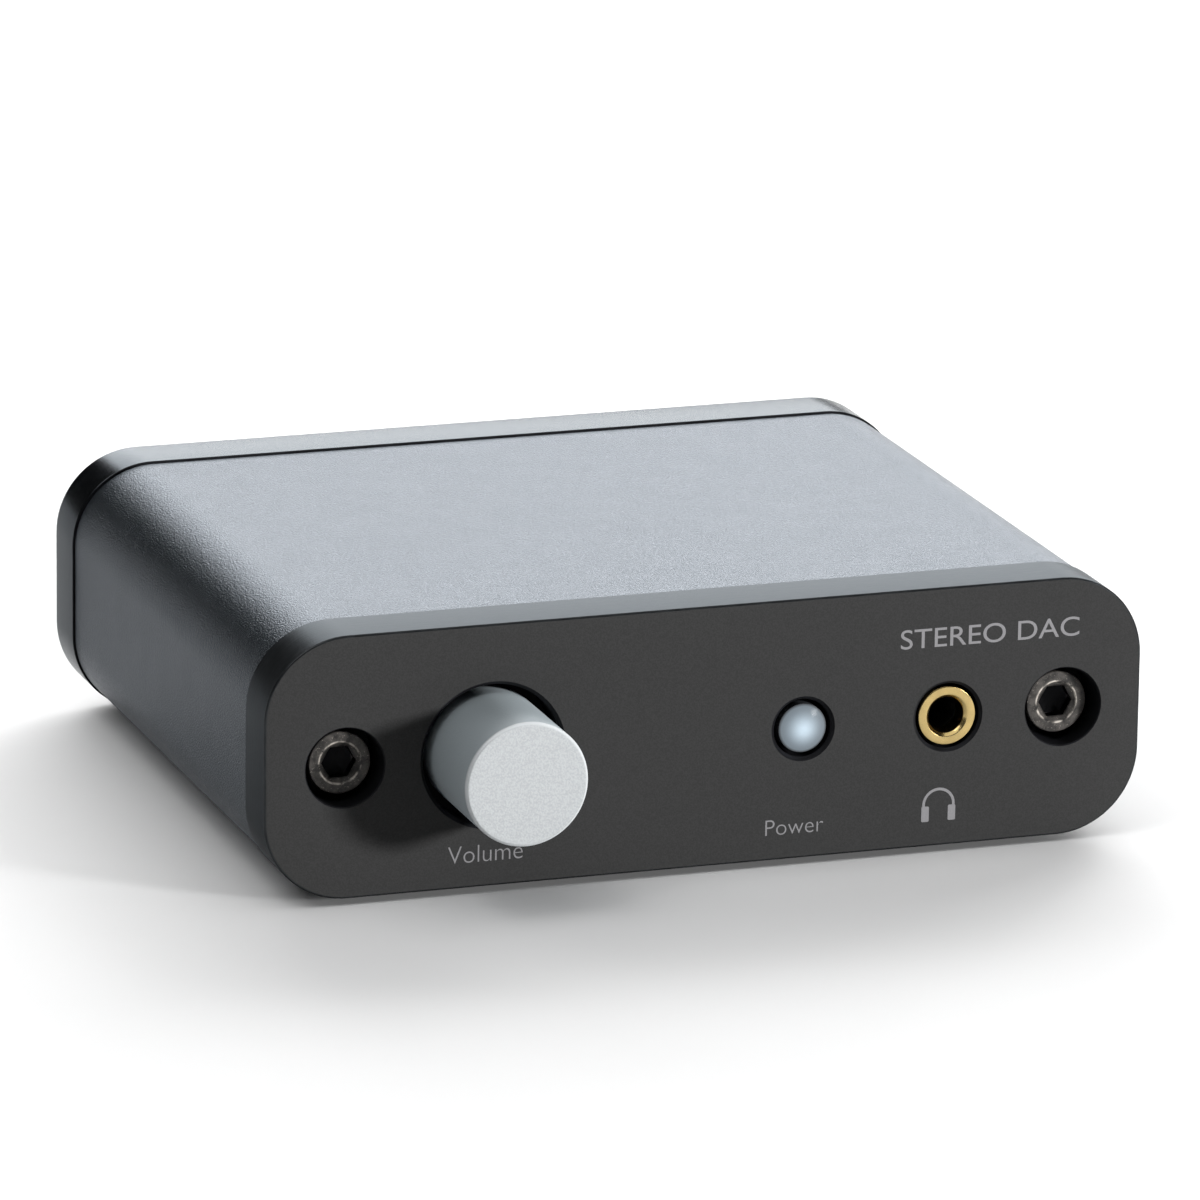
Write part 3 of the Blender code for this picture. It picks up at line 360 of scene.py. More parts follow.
def black_steel(name, centre, face_y):
    """Black oxide steel, rubbed brighter round the key's socket in a ring that is partly real
    rubbing and partly painted highlight, with painted shade deep in the socket.
    """
    colour = (0.024, 0.023, 0.022)
    surface = Surface(name, colour, 0.34, 0.3)
    speckle = surface.noise(0.16 * MM, 5.0, roughness=0.7)
    patches = surface.noise(0.9 * MM, 4.0)
    surface.tint(surface.spread(patches, 0.35, 0.7), (0.075, 0.069, 0.064), colour)
    surface.tint(surface.spread(speckle, 0.58, 0.72, smooth=True), (0.3, 0.27, 0.24))
    distance = surface.from_axis(centre)
    rim = surface.spread(
        surface.math("ABSOLUTE", surface.math("SUBTRACT", distance, HEX_MOUTH_RADIUS)),
        0.0, 0.16 * MM, 1.0, 0.0, smooth=True)
    # Lighter broken ring round the socket's mouth: partly rubbed metal, partly a painted highlight
    # where the mouth's chamfer would catch the light
    wear_and_highlight = surface.math("MULTIPLY", rim, surface.spread(patches, 0.4, 0.62), clamp=True)
    surface.tint(wear_and_highlight, (0.5, 0.46, 0.41))
    # Painted shade: deep in the hexagon socket the colour goes near black and fully metallic, so the
    # socket looks shaded
    inside = surface.spread(distance, HEX_FLATS / 2, HEX_FLATS / 2 + 0.4 * MM, 1.0, 0.0)
    deep = surface.spread(surface.depth_from(face_y), 0.1 * MM, 0.5 * MM, smooth=True)
    painted_socket_shade = surface.math("MULTIPLY", inside, deep, clamp=True)
    surface.tint(painted_socket_shade, (0.006, 0.006, 0.0065))
    surface.tree.links.new(
        surface.spread(painted_socket_shade, 0.0, 1.0, 0.3, 1.0), surface.shader.inputs["Metallic"])
    surface.gloss(speckle, 0.28, 0.5)
    surface.relief(speckle, 0.015 * MM)
    surface.relief(patches, 0.03 * MM)
    surface.put(IOR=1.3)
    return surface


def printed_ink(name):
    """Thin matt silk-screen ink."""
    colour = (0.138, 0.136, 0.141)
    surface = Surface(name, colour, 0.6)
    surface.tint(
        surface.spread(surface.noise(0.12 * MM, 3.0), 0.3, 0.7), shade(colour, 1.08),
        shade(colour, 0.92))
    surface.relief(surface.noise(0.1 * MM, 2.0), 0.004 * MM)
    return surface


def lit_dome(name, centre, radius):
    """Frosted light pipe that glows from its middle."""
    colour = (0.038, 0.041, 0.046)
    surface = Surface(name, colour, 0.4)
    distance = surface.from_axis(centre)
    # Painted shade: the base colour grows a little darker towards the rim
    edge = surface.spread(distance, 0.55 * radius, radius, smooth=True)
    surface.tint(edge, (0.03, 0.032, 0.035), colour)
    glow = surface.spread(distance, 0.0, radius, 1.0, 0.0, smooth=True)
    glow = surface.math("POWER", glow, 1.5)
    cloud = surface.spread(surface.noise(0.5 * MM, 3.0), 0.3, 0.7, 0.97, 1.03)
    rest = surface.spread(distance, 0.9 * radius, radius, 0.2, 0.0)
    strength = surface.math("MULTIPLY_ADD", surface.math("MULTIPLY", glow, cloud), 0.64, rest)
    surface.tree.links.new(strength, surface.shader.inputs["Emission Strength"])
    surface.shader.inputs["Emission Color"].default_value = (0.7, 0.86, 0.98, 1)
    surface.gloss(surface.noise(0.3 * MM, 3.0), 0.36, 0.46)
    surface.relief(surface.noise(0.4 * MM, 2.0), 0.003 * MM)
    surface.put(IOR=1.22, Coat_Weight=0.2, Coat_Roughness=0.14)
    return surface


def solder_mask(name):
    """Green circuit board with faint tracks under the mask."""
    colour = (0.008, 0.07, 0.03)
    surface = Surface(name, colour, 0.32)
    tracks = surface.tree.nodes.new("ShaderNodeTexBrick")
    tracks.inputs["Scale"].default_value = 320.0
    tracks.inputs["Mortar Size"].default_value = 0.06
    tracks.inputs["Color1"].default_value = (0, 0, 0, 1)
    tracks.inputs["Color2"].default_value = (0, 0, 0, 1)
    tracks.inputs["Mortar"].default_value = (1, 1, 1, 1)
    surface.tree.links.new(surface.coordinates, tracks.inputs["Vector"])
    surface.tint(tracks.outputs["Color"], (0.02, 0.14, 0.05), colour)
    surface.gloss(surface.noise(1.5 * MM, 3.0), 0.26, 0.4)
    surface.relief(tracks.outputs["Color"], 0.03 * MM)
    return surface


# ------------------------------------------------------------------- shapes


def circle(x, z, radius):
    """Ring shape: the points of a circle grown by an offset."""
    def points(offset=0.0):
        return [
            (x + (radius + offset) * math.cos(math.tau * step / STEPS),
             z + (radius + offset) * math.sin(math.tau * step / STEPS))
            for step in range(STEPS)]
    return points


def rounded_box(x, z, half_x, half_z, radius):
    """Ring shape: the points of a round-cornered rectangle grown by an offset."""
    def points(offset=0.0):
        ring = []
        grown = max(radius + offset, 0.01 * MM)
        for corner in range(4):
            right = 1 if corner in (0, 3) else -1
            top = 1 if corner in (0, 1) else -1
            middle_x = x + right * (half_x - radius)
            middle_z = z + top * (half_z - radius)
            for step in range(CORNER_STEPS + 1):
                angle = math.radians(90 * (corner + step / CORNER_STEPS))
                ring.append((middle_x + grown * math.cos(angle), middle_z + grown * math.sin(angle)))
        return ring
    return points


def fixed(ring):
    """Ring shape that keeps its points whatever the offset."""
    return lambda offset=0.0: ring


def bridge(solid, first, second, finish=0):
    """Faces between two rings of the same count."""
    count = len(first)
    for index in range(count):
        after = (index + 1) % count
        face = solid.faces.new((first[index], first[after], second[after], second[index]))
        face.smooth = True
        face.material_index = finish


def ring_edges(solid, ring):
    """The edges along a closed ring."""
    return [
        solid.edges.get((vert, ring[(index + 1) % len(ring)])) for index, vert in enumerate(ring)]


def walls(solid, shape, profile, face_y, inward, finish=0):
    """Rings down a profile of (offset, depth), joined by faces."""
    rings = []
    for offset, depth in profile:
        y = face_y + inward * depth
        rings.append([solid.verts.new((x, y, z)) for x, z in shape(offset)])
    for first, second in zip(rings, rings[1:]):
        bridge(solid, first, second, finish)
    return rings[0], rings[-1]


def flat_fill(solid, edges, side, finish=0):
    """Flat face that fills closed rings of edges and looks along Y to one side."""
    filled = bmesh.ops.triangle_fill(solid, use_beauty=True, edges=edges, normal=(0, side, 0))
    for face in filled["geom"]:
        if isinstance(face, bmesh.types.BMFace):
            face.smooth = False
            face.material_index = finish


def finished(name, solid, *materials):
    """Object for a finished solid, shaded smooth between its sharp edges."""
    bmesh.ops.recalc_face_normals(solid, faces=solid.faces)
    mesh = bpy.data.meshes.new(name)
    solid.to_mesh(mesh)
    solid.free()
    mesh.set_sharp_from_angle(angle=math.radians(30))
    for material in materials:
        mesh.materials.append(material)
    item = bpy.data.objects.new(name, mesh)
    bpy.context.scene.collection.objects.link(item)
    return item


def pierced(name, outside, outside_profile, holes, face_y, inward, *materials):
    """Thick plate with holes; the materials are for its face, its bores and its outer edge.

    Each hole is a shape and a profile of (offset, depth) from face to back.
    """
    solid = bmesh.new()
    edge_finish = len(materials) - 1
    bore_finish = min(1, edge_finish)
    front, back = walls(solid, outside, outside_profile, face_y, inward, edge_finish)
    fronts = ring_edges(solid, front)
    backs = ring_edges(solid, back)
    for shape, profile in holes:
        front, back = walls(solid, shape, profile, face_y, inward, bore_finish)
        fronts += ring_edges(solid, front)
        backs += ring_edges(solid, back)
    flat_fill(solid, fronts, -inward)
    flat_fill(solid, backs, inward, bore_finish)
    return finished(name, solid, *materials)


def fillet(radius, steps=7):
    """Profile of a round outer edge, from the face to the side."""
    points = []
    for step in range(steps + 1):
        angle = math.pi / 2 * step / steps
        points.append((-radius * (1 - math.sin(angle)), radius * (1 - math.cos(angle))))
    return points


def softened(points, reach, steps=3, closed=False):
    """Profile whose corners are rounded over a short reach."""
    result = []
    count = len(points)
    for index, point in enumerate(points):
        if not closed and index in (0, count - 1):
            result.append(point)
            continue
        here = Vector(point)
        before = Vector(points[index - 1])
        after = Vector(points[(index + 1) % count])
        start = here + (before - here) * min(0.45, reach / max((before - here).length, TINY))
        end = here + (after - here) * min(0.45, reach / max((after - here).length, TINY))
        for step in range(steps + 1):
            part = step / steps
            place = start.lerp(here, part).lerp(here.lerp(end, part), part)
            result.append((place.x, place.y))
    return result


def turned(name, profile, base, inward, material, closed=False, steps=STEPS):
    """Solid turned about an axis along Y.

    The profile holds (radius, depth) or (radius, depth, flats) from the base
    inwards, where flats is the number of sides of a keyed stretch.
    """
    solid = bmesh.new()
    rings = []
    for point in profile:
        radius, depth = point[:2]
        y = base.y + inward * depth
        if radius < TINY:
            rings.append([solid.verts.new((base.x, y, base.z))])
            continue
        ring = []
        for step in range(steps):
            angle = math.tau * step / steps
            reach = radius
            if len(point) == 3:
                side = math.tau / point[2]
                reach = radius / math.cos((angle % side) - side / 2)
            ring.append(solid.verts.new(
                (base.x + reach * math.cos(angle), y, base.z + reach * math.sin(angle))))
        rings.append(ring)
    pairs = list(zip(rings, rings[1:]))
    if closed:
        pairs.append((rings[-1], rings[0]))
    for first, second in pairs:
        if len(first) == 1 or len(second) == 1:
            tip, ring = (first[0], second) if len(first) == 1 else (second[0], first)
            for index in range(len(ring)):
                face = solid.faces.new((tip, ring[index], ring[(index + 1) % len(ring)]))
                face.smooth = True
        else:
            bridge(solid, first, second)
    return finished(name, solid, material)


def block(name, low, high, radius, material):
    """Box with softly rounded edges."""
    solid = bmesh.new()
    size = high - low
    place = Matrix.Translation((low + high) / 2) @ Matrix.Diagonal((*size, 1.0))
    bmesh.ops.create_cube(solid, size=1.0, matrix=place)
    bmesh.ops.bevel(
        solid, geom=list(solid.edges), offset=radius, segments=3, profile=0.5, affect="EDGES")
    for face in solid.faces:
        face.smooth = True
    return finished(name, solid, material)


def stands_for(item, body, slot, *nodes):
    """Put a piece on its body in place of CAD nodes."""
    if nodes:
        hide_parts(*nodes)
    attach(item, body)
    return item


# -------------------------------------------------------------------- pieces


def screw_holes(face_y):
    """Counterbored holes for the two screws of a plate."""
    holes = []
    for side in ("left", "right"):
        _, _, centre = box_of(f"front_screw_{side}")
        shape = circle(centre.x, centre.z, COUNTERBORE_RADIUS)
        narrow = SCREW_HOLE_RADIUS - COUNTERBORE_RADIUS
        holes.append((shape, [
            (SCREW_HOLE_BREAK, 0), (0, SCREW_HOLE_BREAK), (0, COUNTERBORE_DEPTH),
            (narrow, COUNTERBORE_DEPTH), (narrow, face_y)]))
    return holes


def plate_outline(node):
    """Outline of an end plate, its profile and its thickness."""
    low, high, centre = box_of(node)
    thickness = high.y - low.y
    shape = rounded_box(
        centre.x, centre.z, (high.x - low.x) / 2, (high.z - low.z) / 2, PLATE_CORNER_RADIUS)
    profile = fillet(PLATE_FILLET)
    profile += [(0, thickness - PLATE_BACK_BREAK), (-PLATE_BACK_BREAK, thickness)]
    return shape, profile, thickness


def build_front_panel():
    """Black front plate with its recess, button hole and headphone hole."""
    low, _, _ = box_of("front_panel")
    shape, profile, thickness = plate_outline("front_panel")
    holes = screw_holes(thickness)
    knob = box_of("volume_knob")[2]
    narrow = BUSHING_HOLE_RADIUS - RECESS_RADIUS
    holes.append((circle(knob.x, knob.z, RECESS_RADIUS), [
        (0, 0), (-RECESS_CHAMFER, RECESS_CHAMFER), (-RECESS_CHAMFER, RECESS_DEPTH),
        (narrow, RECESS_DEPTH), (narrow, thickness)]))
    for node, radius, chamfer in (
            ("power_button", BUTTON_HOLE_RADIUS, BUTTON_HOLE_CHAMFER),
            ("headphone_jack_bushing", JACK_HOLE_RADIUS, JACK_HOLE_CHAMFER)):
        centre = box_of(node)[2]
        holes.append((circle(centre.x, centre.z, radius), [
            (0, 0), (-chamfer, chamfer), (-chamfer, thickness)]))
    face = anodised(
        "front_plate_face", (0.0235, 0.0235, 0.0235), 0.5, 0.0, 0.14 * MM, 0.004 * MM, 0.1)
    face.put(IOR=1.15)
    # Bores and back of the plate in near-black painted shade
    bores = bore_painted_shade("front_plate_bores_shaded")
    edge = machined_edge("front_plate_edge", (0.033, 0.035, 0.037), 0.36, 0.515)
    item = pierced(
        "front_plate", shape, profile, holes, low.y, 1, face.material, bores.material,
        edge.material)
    stands_for(item, "chassis", "black_anodised", "front_panel")


def build_rear_panel():
    """Rear plate with round and square windows for the sockets."""
    _, high, _ = box_of("rear_panel")
    shape, profile, thickness = plate_outline("rear_panel")
    holes = screw_holes(thickness)
    edge = 0.15 * MM
    mouth = [(edge, 0), (0, edge), (0, thickness)]
    for side in ("left", "right"):
        centre = box_of(f"phono_shell_{side}")[2]
        holes.append((circle(centre.x, centre.z, PHONO_HOLE_RADIUS), mouth))
    for node in ("data_socket_shell", "optical_housing"):
        low_corner, high_corner, centre = box_of(node)
        half = (high_corner - low_corner) / 2 + Vector((1, 1, 1)) * WINDOW_GAP
        holes.append((rounded_box(centre.x, centre.z, half.x, half.z, 0.6 * MM), mouth))
    face = anodised(
        "rear_plate_face", (0.04, 0.041, 0.042), 0.42, 0.3, 0.14 * MM, 0.004 * MM, 0.1)
    rim = machined_edge("rear_plate_edge", (0.033, 0.035, 0.038), 0.22, 0.53)
    # Bores and back of the plate in near-black painted shade
    bores = bore_painted_shade("rear_plate_bores_shaded")
    item = pierced(
        "rear_plate", shape, profile, holes, high.y, -1, face.material, bores.material,
        rim.material)
    stands_for(item, "chassis", "black_anodised", "rear_panel")


def channel_ring(half_x, half_z, radius):
    """Inside of the sleeve, whose ribs and screw bosses hold the board's edges."""
    board_low, board_high, _ = box_of("main_board")
    centre = box_of("housing_sleeve")[2]
    rib_top = board_low.z - WINDOW_GAP - centre.z
    rib_bottom = rib_top - RAIL_THICKNESS
    boss_bottom = board_high.z + WINDOW_GAP - centre.z
    corner_x = half_x - radius
    corner_z = half_z - radius

    def arc(middle_z, start, end, count):
        return [
            (corner_x + radius * math.cos(start + (end - start) * step / count),
             middle_z + radius * math.sin(start + (end - start) * step / count))
            for step in range(count + 1)]

    def wall_angle(height):
        return math.asin((height + corner_z) / radius)

    right = arc(-corner_z, -math.pi / 2, wall_angle(rib_bottom), 12)
    right += [(half_x - RAIL_REACH, rib_bottom), (half_x - RAIL_REACH, rib_top)]
    right += arc(-corner_z, wall_angle(rib_top), wall_angle(boss_bottom), 4)
    right += [(half_x - BOSS_REACH, boss_bottom), (half_x - BOSS_REACH, BOSS_TOP)]
    right += [(half_x, BOSS_TOP)]
    right += arc(corner_z, 0, math.pi / 2, CORNER_STEPS)
    left = [(-x, z) for x, z in reversed(right)]
    return [(x + centre.x, z + centre.z) for x, z in right + left]


def build_sleeve():
    """Blasted grey extrusion between the plates."""
    low, high, centre = box_of("housing_sleeve")
    half_x = (high.x - low.x) / 2
    half_z = (high.z - low.z) / 2
    radius = PLATE_CORNER_RADIUS - (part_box("front_panel")[1].x - high.x)
    length = high.y - low.y
    profile = [
        (-SLEEVE_BREAK, 0), (0, SLEEVE_BREAK), (0, length - SLEEVE_BREAK), (-SLEEVE_BREAK, length)]
    ring = channel_ring(half_x - SLEEVE_WALL, half_z - SLEEVE_WALL, radius - SLEEVE_WALL)
    straight = [(0, 0), (0, length)]
    holes = [(fixed(ring), straight)]
    for side in ("left", "right"):
        spot = box_of(f"front_screw_{side}")[2]
        holes.append((circle(spot.x, spot.z, SCREW_HOLE_RADIUS), straight))
    outside = rounded_box(centre.x, centre.z, half_x, half_z, radius)
    material = anodised(
        "sleeve_blasted_grey", (0.036, 0.043, 0.049), 0.34, 0.92, 0.18 * MM, 0.08 * MM, 0.25)
    material.put(Specular_Tint=(0.695, 0.706, 0.727, 1))
    item = pierced("sleeve_shell", outside, profile, holes, low.y, 1, material.material)
    stands_for(item, "chassis", "blasted_anodised", "housing_sleeve")


def threads(start, end, pitch=0.6 * MM, depth=0.25 * MM):
    """Profile of the thread's crests and roots along the shank."""
    count = int((end - start) / pitch)
    profile = []
    for turn in range(count):
        here = start + turn * pitch
        profile += [(SHANK_RADIUS, here), (SHANK_RADIUS - depth, here + pitch / 2)]
    profile.append((SHANK_RADIUS, start + count * pitch))
    return profile


def build_screws():
    """Socket head screws with a bright ring round the hexagon, partly rubbed metal and partly
    painted highlight.
    """
    apothem = HEX_FLATS / 2
    edge = 0.3 * MM
    for end, inward in (("front", 1), ("rear", -1)):
        for side in ("left", "right"):
            node = f"{end}_screw_{side}"
            low, high, centre = box_of(node)
            head_radius = (high.x - low.x) / 2
            length = high.y - low.y
            face = Vector((centre.x, low.y if inward > 0 else high.y, centre.z))
            head = [
                (head_radius - edge, 0), (head_radius - 0.35 * edge, 0.12 * edge),
                (head_radius - 0.12 * edge, 0.35 * edge), (head_radius, edge)]
            profile = [
                (0, HEX_DEPTH), (apothem, HEX_DEPTH - 0.45 * MM, 6), (apothem, 0.36 * MM, 6),
                (HEX_MOUTH_RADIUS - 0.12 * MM, 0.09 * MM), (HEX_MOUTH_RADIUS, 0), *head,
                (head_radius, SCREW_HEAD_HEIGHT - 0.15 * MM),
                (head_radius - 0.15 * MM, SCREW_HEAD_HEIGHT), (SHANK_RADIUS, SCREW_HEAD_HEIGHT)]
            profile += threads(SCREW_HEAD_HEIGHT + 0.4 * MM, length - 0.5 * MM)
            profile += [(SHANK_RADIUS - 0.4 * MM, length), (0, length)]
            material = black_steel(f"black_oxide_{node}", centre, face.y).material
            item = turned(f"{node}_steel", profile, face, inward, material)
            stands_for(item, "chassis", "black_steel", node)


def build_feet():
    """Thin rubber feet with a rounded lower edge."""
    material = rubber("foot_rubber").material
    for end in ("front", "rear"):
        for side in ("left", "right"):
            node = f"foot_{end}_{side}"
            low, high, centre = box_of(node)
            radius = (high.x - low.x) / 2
            height = high.z - low.z
            solid = bmesh.new()
            profile = [(0.0, 0.0), (radius, 0.0), (radius, height), (0.0, height)]
            rings = []
            for reach, drop in softened(profile, FOOT_EDGE, 4):
                z = high.z - drop
                if reach < TINY:
                    rings.append([solid.verts.new((centre.x, centre.y, z))])
                else:
                    rings.append([
                        solid.verts.new((x, y, z))
                        for x, y in circle(centre.x, centre.y, reach)()])
            for first, second in zip(rings[1:-1], rings[2:-1]):
                bridge(solid, first, second)
            for tip, ring in ((rings[0][0], rings[1]), (rings[-1][0], rings[-2])):
                for index in range(len(ring)):
                    solid.faces.new((tip, ring[index], ring[(index + 1) % len(ring)]))
            item = finished(f"{node}_rubber", solid, material)
            stands_for(item, "chassis", "rubber", node)


def build_knob():
    """Satin silver knob, turned from bar and blasted."""
    low, high, centre = box_of("volume_knob")
    radius = (high.x - low.x) / 2
    length = high.y - low.y
    base = Vector((centre.x, low.y, centre.z))
    profile = [(0, 0)]
    profile += softened(
        [(radius - 2 * KNOB_EDGE, 0), (radius - KNOB_EDGE, 0), (radius, KNOB_EDGE),
         (radius, 3 * KNOB_EDGE)], 0.06 * MM)
    profile += [
        (radius, length - KNOB_EDGE), (radius - KNOB_EDGE, length),
        (KNOB_BORE_RADIUS + 0.2 * MM, length), (KNOB_BORE_RADIUS, length - 0.2 * MM),
        (KNOB_BORE_RADIUS, length - KNOB_BORE_DEPTH), (0, length - KNOB_BORE_DEPTH)]
    material = anodised(
        "knob_satin_silver", (0.33, 0.343, 0.35), 0.58, 0.2, 0.2 * MM, 0.02 * MM, 0.07)
    depth = material.depth_from(low.y)
    # Painted highlight: everything behind the face is made lighter, so the chamfer round the face
    # shows as a bright ring
    material.tint(material.spread(depth, 0, 0.1 * MM), (0.42, 0.438, 0.448))
    # Painted shade: the side behind the chamfer is darker and bluer than the face
    material.tint(material.spread(depth, 1.2 * KNOB_EDGE, 2 * KNOB_EDGE), (0.28, 0.316, 0.334))
    item = turned("knob_silver", profile, base, 1, material.material, steps=128)
    stands_for(item, "knob", "satin_silver", "volume_knob")


def build_button():
    """Frosted dome of the light pipe, with its flange and stem behind."""
    low, high, centre = box_of("power_button")
    sphere = (DOME_RADIUS ** 2 + DOME_RISE ** 2) / (2 * DOME_RISE)
    half_angle = math.asin(DOME_RADIUS / sphere)
    steps = 12
    profile = []
    for step in range(steps + 1):
        angle = half_angle * step / steps
        profile.append((sphere * math.sin(angle), sphere * (1 - math.cos(angle))))
    flange_radius = (high.x - low.x) / 2
    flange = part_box("front_panel")[1].y + WINDOW_GAP - low.y
    flange_back = flange + 0.8 * MM
    stem = 1.3 * MM
    length = high.y - low.y
    profile += [
        (DOME_RADIUS, flange), (flange_radius, flange), (flange_radius, flange_back),
        (stem, flange_back), (stem, length), (0, length)]
    base = Vector((centre.x, low.y, centre.z))
    material = lit_dome("light_pipe_frosted", centre, DOME_RADIUS).material
    item = turned("power_dome", profile, base, 1, material)
    stands_for(item, "button", "diffuser", "power_button")


def build_jack():
    """Gold bushing, plain inside for its throat and wider behind."""
    low, high, centre = box_of("headphone_jack_bushing")
    radius = (high.x - low.x) / 2
    length = high.y - low.y
    mouth = 0.32 * MM
    rim = 0.08 * MM
    ring = [
        (JACK_BORE_RADIUS, mouth), (JACK_BORE_RADIUS + mouth, 0), (radius - rim, 0),
        (radius, rim), (radius, length), (JACK_SOCKET_RADIUS, length),
        (JACK_SOCKET_RADIUS, JACK_THROAT_LENGTH), (JACK_BORE_RADIUS, JACK_THROAT_LENGTH)]
    base = Vector((centre.x, low.y, centre.z))
    material = turned_metal(
        "bushing_gold", (0.63, 0.47, 0.2), 0.23, centre, 0.09 * MM, 0.0005 * MM).material
    item = turned(
        "jack_bushing_gold", softened(ring, 0.04 * MM, 2, True), base, 1, material, True)
    stands_for(item, "chassis", "gold", "headphone_jack_bushing")


def build_phono():
    """Phono sockets: plated shells, coloured collars and insulators."""
    for side, colour in (("left", (0.8, 0.8, 0.77)), ("right", (0.5, 0.02, 0.02))):
        slot = "white_plastic" if side == "left" else "red_plastic"
        low, high, centre = box_of(f"phono_shell_{side}")
        radius = (high.x - low.x) / 2
        inner = radius - PHONO_SHELL_WALL
        length = high.y - low.y
        base = Vector((centre.x, high.y, centre.z))
        groove = 0.12 * MM
        ring = [
            (inner, 0), (radius, 0), (radius, 1.4 * MM), (radius - groove, 1.55 * MM),
            (radius - groove, 1.85 * MM), (radius, 2.0 * MM), (radius, length), (inner, length)]
        gold = turned_metal(
            f"shell_gold_{side}", (0.83, 0.61, 0.27), 0.22, centre, 0.12 * MM, 0.001 * MM)
        item = turned(
            f"phono_{side}_shell_gold", softened(ring, 0.1 * MM, 3, True), base, -1,
            gold.material, True)
        stands_for(item, "chassis", "gold", f"phono_shell_{side}")
        plastic = moulded(f"phono_plastic_{side}", colour, 0.35).material
        for part, wall in (("collar", 0.5 * MM), ("insulator", 1.6 * MM)):
            low, high, centre = box_of(f"phono_{part}_{side}")
            outer = (high.x - low.x) / 2
            length = high.y - low.y
            base = Vector((centre.x, high.y, centre.z))
            ring = [(outer - wall, 0), (outer, 0), (outer, length), (outer - wall, length)]
            item = turned(
                f"phono_{side}_{part}_plastic", softened(ring, 0.18 * MM, 3, True), base, -1,
                plastic, True)
            stands_for(item, "chassis", slot, f"phono_{part}_{side}")
        low, high, centre = box_of(f"phono_contact_{side}")
        outer = (high.x - low.x) / 2
        length = high.y - low.y
        ring = [(outer - 0.3 * MM, 0), (outer, 0), (outer, length), (outer - 0.3 * MM, length)]
        item = turned(
            f"phono_{side}_contact_gold", softened(ring, 0.08 * MM, 2, True),
            Vector((centre.x, high.y, centre.z)), -1, gold.material, True, 48)
        stands_for(item, "chassis", "gold", f"phono_contact_{side}")


def build_data_socket():
    """Folded metal shell of the square data socket, its tongue and contacts."""
    low, high, centre = box_of("data_socket_shell")
    half = (high - low) / 2
    length = high.y - low.y
    outside = rounded_box(centre.x, centre.z, half.x, half.z, 0.5 * MM)
    profile = fillet(0.25 * MM, 4) + [(0, length - 0.1 * MM), (-0.1 * MM, length)]
    width, height = DATA_OPENING
    corner = DATA_OPENING_CHAMFER
    opening = [
        (-width / 2, -height / 2), (width / 2, -height / 2), (width / 2, height / 2 - corner),
        (width / 2 - corner, height / 2), (-width / 2 + corner, height / 2),
        (-width / 2, height / 2 - corner)]

    def mouth(offset=0.0):
        return [
            (centre.x + x * (1 + 2 * offset / width), centre.z + z * (1 + 2 * offset / height))
            for x, z in opening]

    solid = bmesh.new()
    outer_front, outer_back = walls(solid, outside, profile, high.y, -1)
    mouth_profile = [(0.2 * MM, 0), (0.05 * MM, 0.08 * MM), (0, 0.25 * MM), (0, DATA_CAVITY_DEPTH)]
    inner_front, inner_back = walls(solid, mouth, mouth_profile, high.y, -1)
    flat_fill(solid, ring_edges(solid, outer_front) + ring_edges(solid, inner_front), 1)
    solid.faces.new(outer_back)
    solid.faces.new(inner_back)
    nickel = Surface("shell_nickel", (0.56, 0.55, 0.53), 0.3, 1.0)
    streaks = nickel.noise(0.12 * MM, 4.0, nickel.moved(centre, (1, 0.06, 1)))
    nickel.tint(nickel.spread(streaks, 0.3, 0.7), (0.66, 0.65, 0.62), (0.46, 0.45, 0.44))
    nickel.gloss(streaks, 0.24, 0.4)
    nickel.relief(streaks, 0.004 * MM)
    item = finished("data_shell_nickel", solid, nickel.material)
    stands_for(item, "chassis", "steel", "data_socket_shell")

    low, high, _ = box_of("data_socket_tongue")
    plastic = moulded("tongue_plastic", (0.75, 0.75, 0.73), 0.4).material
    item = block("data_tongue", low, high, 0.25 * MM, plastic)
    stands_for(item, "chassis", "white_plastic", "data_socket_tongue")
    for number in range(1, 5):
        node = f"data_socket_contact_{number}"
        low, high, centre = box_of(node)
        gold = turned_metal(
            f"contact_gold_{number}", (0.83, 0.61, 0.27), 0.25, centre, 0.2 * MM, 0.001 * MM)
        item = block(f"data_contact_{number}", low, high, 0.06 * MM, gold.material)
        stands_for(item, "chassis", "gold", node)


def plain_materials():
    """Materials for the CAD nodes that are shown as they are."""
    finishes = {
        "black_plastic": moulded("cad_black_plastic", (0.016, 0.016, 0.018), 0.42),
        "white_plastic": moulded("cad_white_plastic", (0.75, 0.75, 0.72), 0.4),
        "carbon": moulded("cad_chip_black", (0.03, 0.028, 0.027), 0.55, 0.15 * MM),
        "brass": turned_metal(
            "cad_brass", (0.7, 0.5, 0.22), 0.3, box_of("pot_bushing")[2], 0.15 * MM, 0.001 * MM),
        "steel": turned_metal(
            "cad_steel", (0.56, 0.55, 0.54), 0.3, box_of("pot_shaft")[2], 0.12 * MM, 0.001 * MM),
        "gold": turned_metal(
            "cad_gold", (0.83, 0.61, 0.27), 0.25, box_of("headphone_jack_body")[2], 0.2 * MM,
            0.001 * MM),
        "diffuser": moulded("cad_led_lens", (0.7, 0.76, 0.82), 0.2),
        "board_mask": solder_mask("cad_solder_mask"),
        "can": turned_metal(
            "cad_can", (0.66, 0.66, 0.68), 0.25, box_of("capacitor_1")[2], 0.4 * MM, 0.001 * MM),
    }
    slots = {row["node"]: row["material_slot"] for row in frame["record"]["subparts"]}
    for name, item in frame["nodes"].items():
        finish = finishes.get(slots[name])
        if finish is not None:
            item.data.materials.clear()
            item.data.materials.append(finish.material)


# --------------------------------------------------------------- face marks


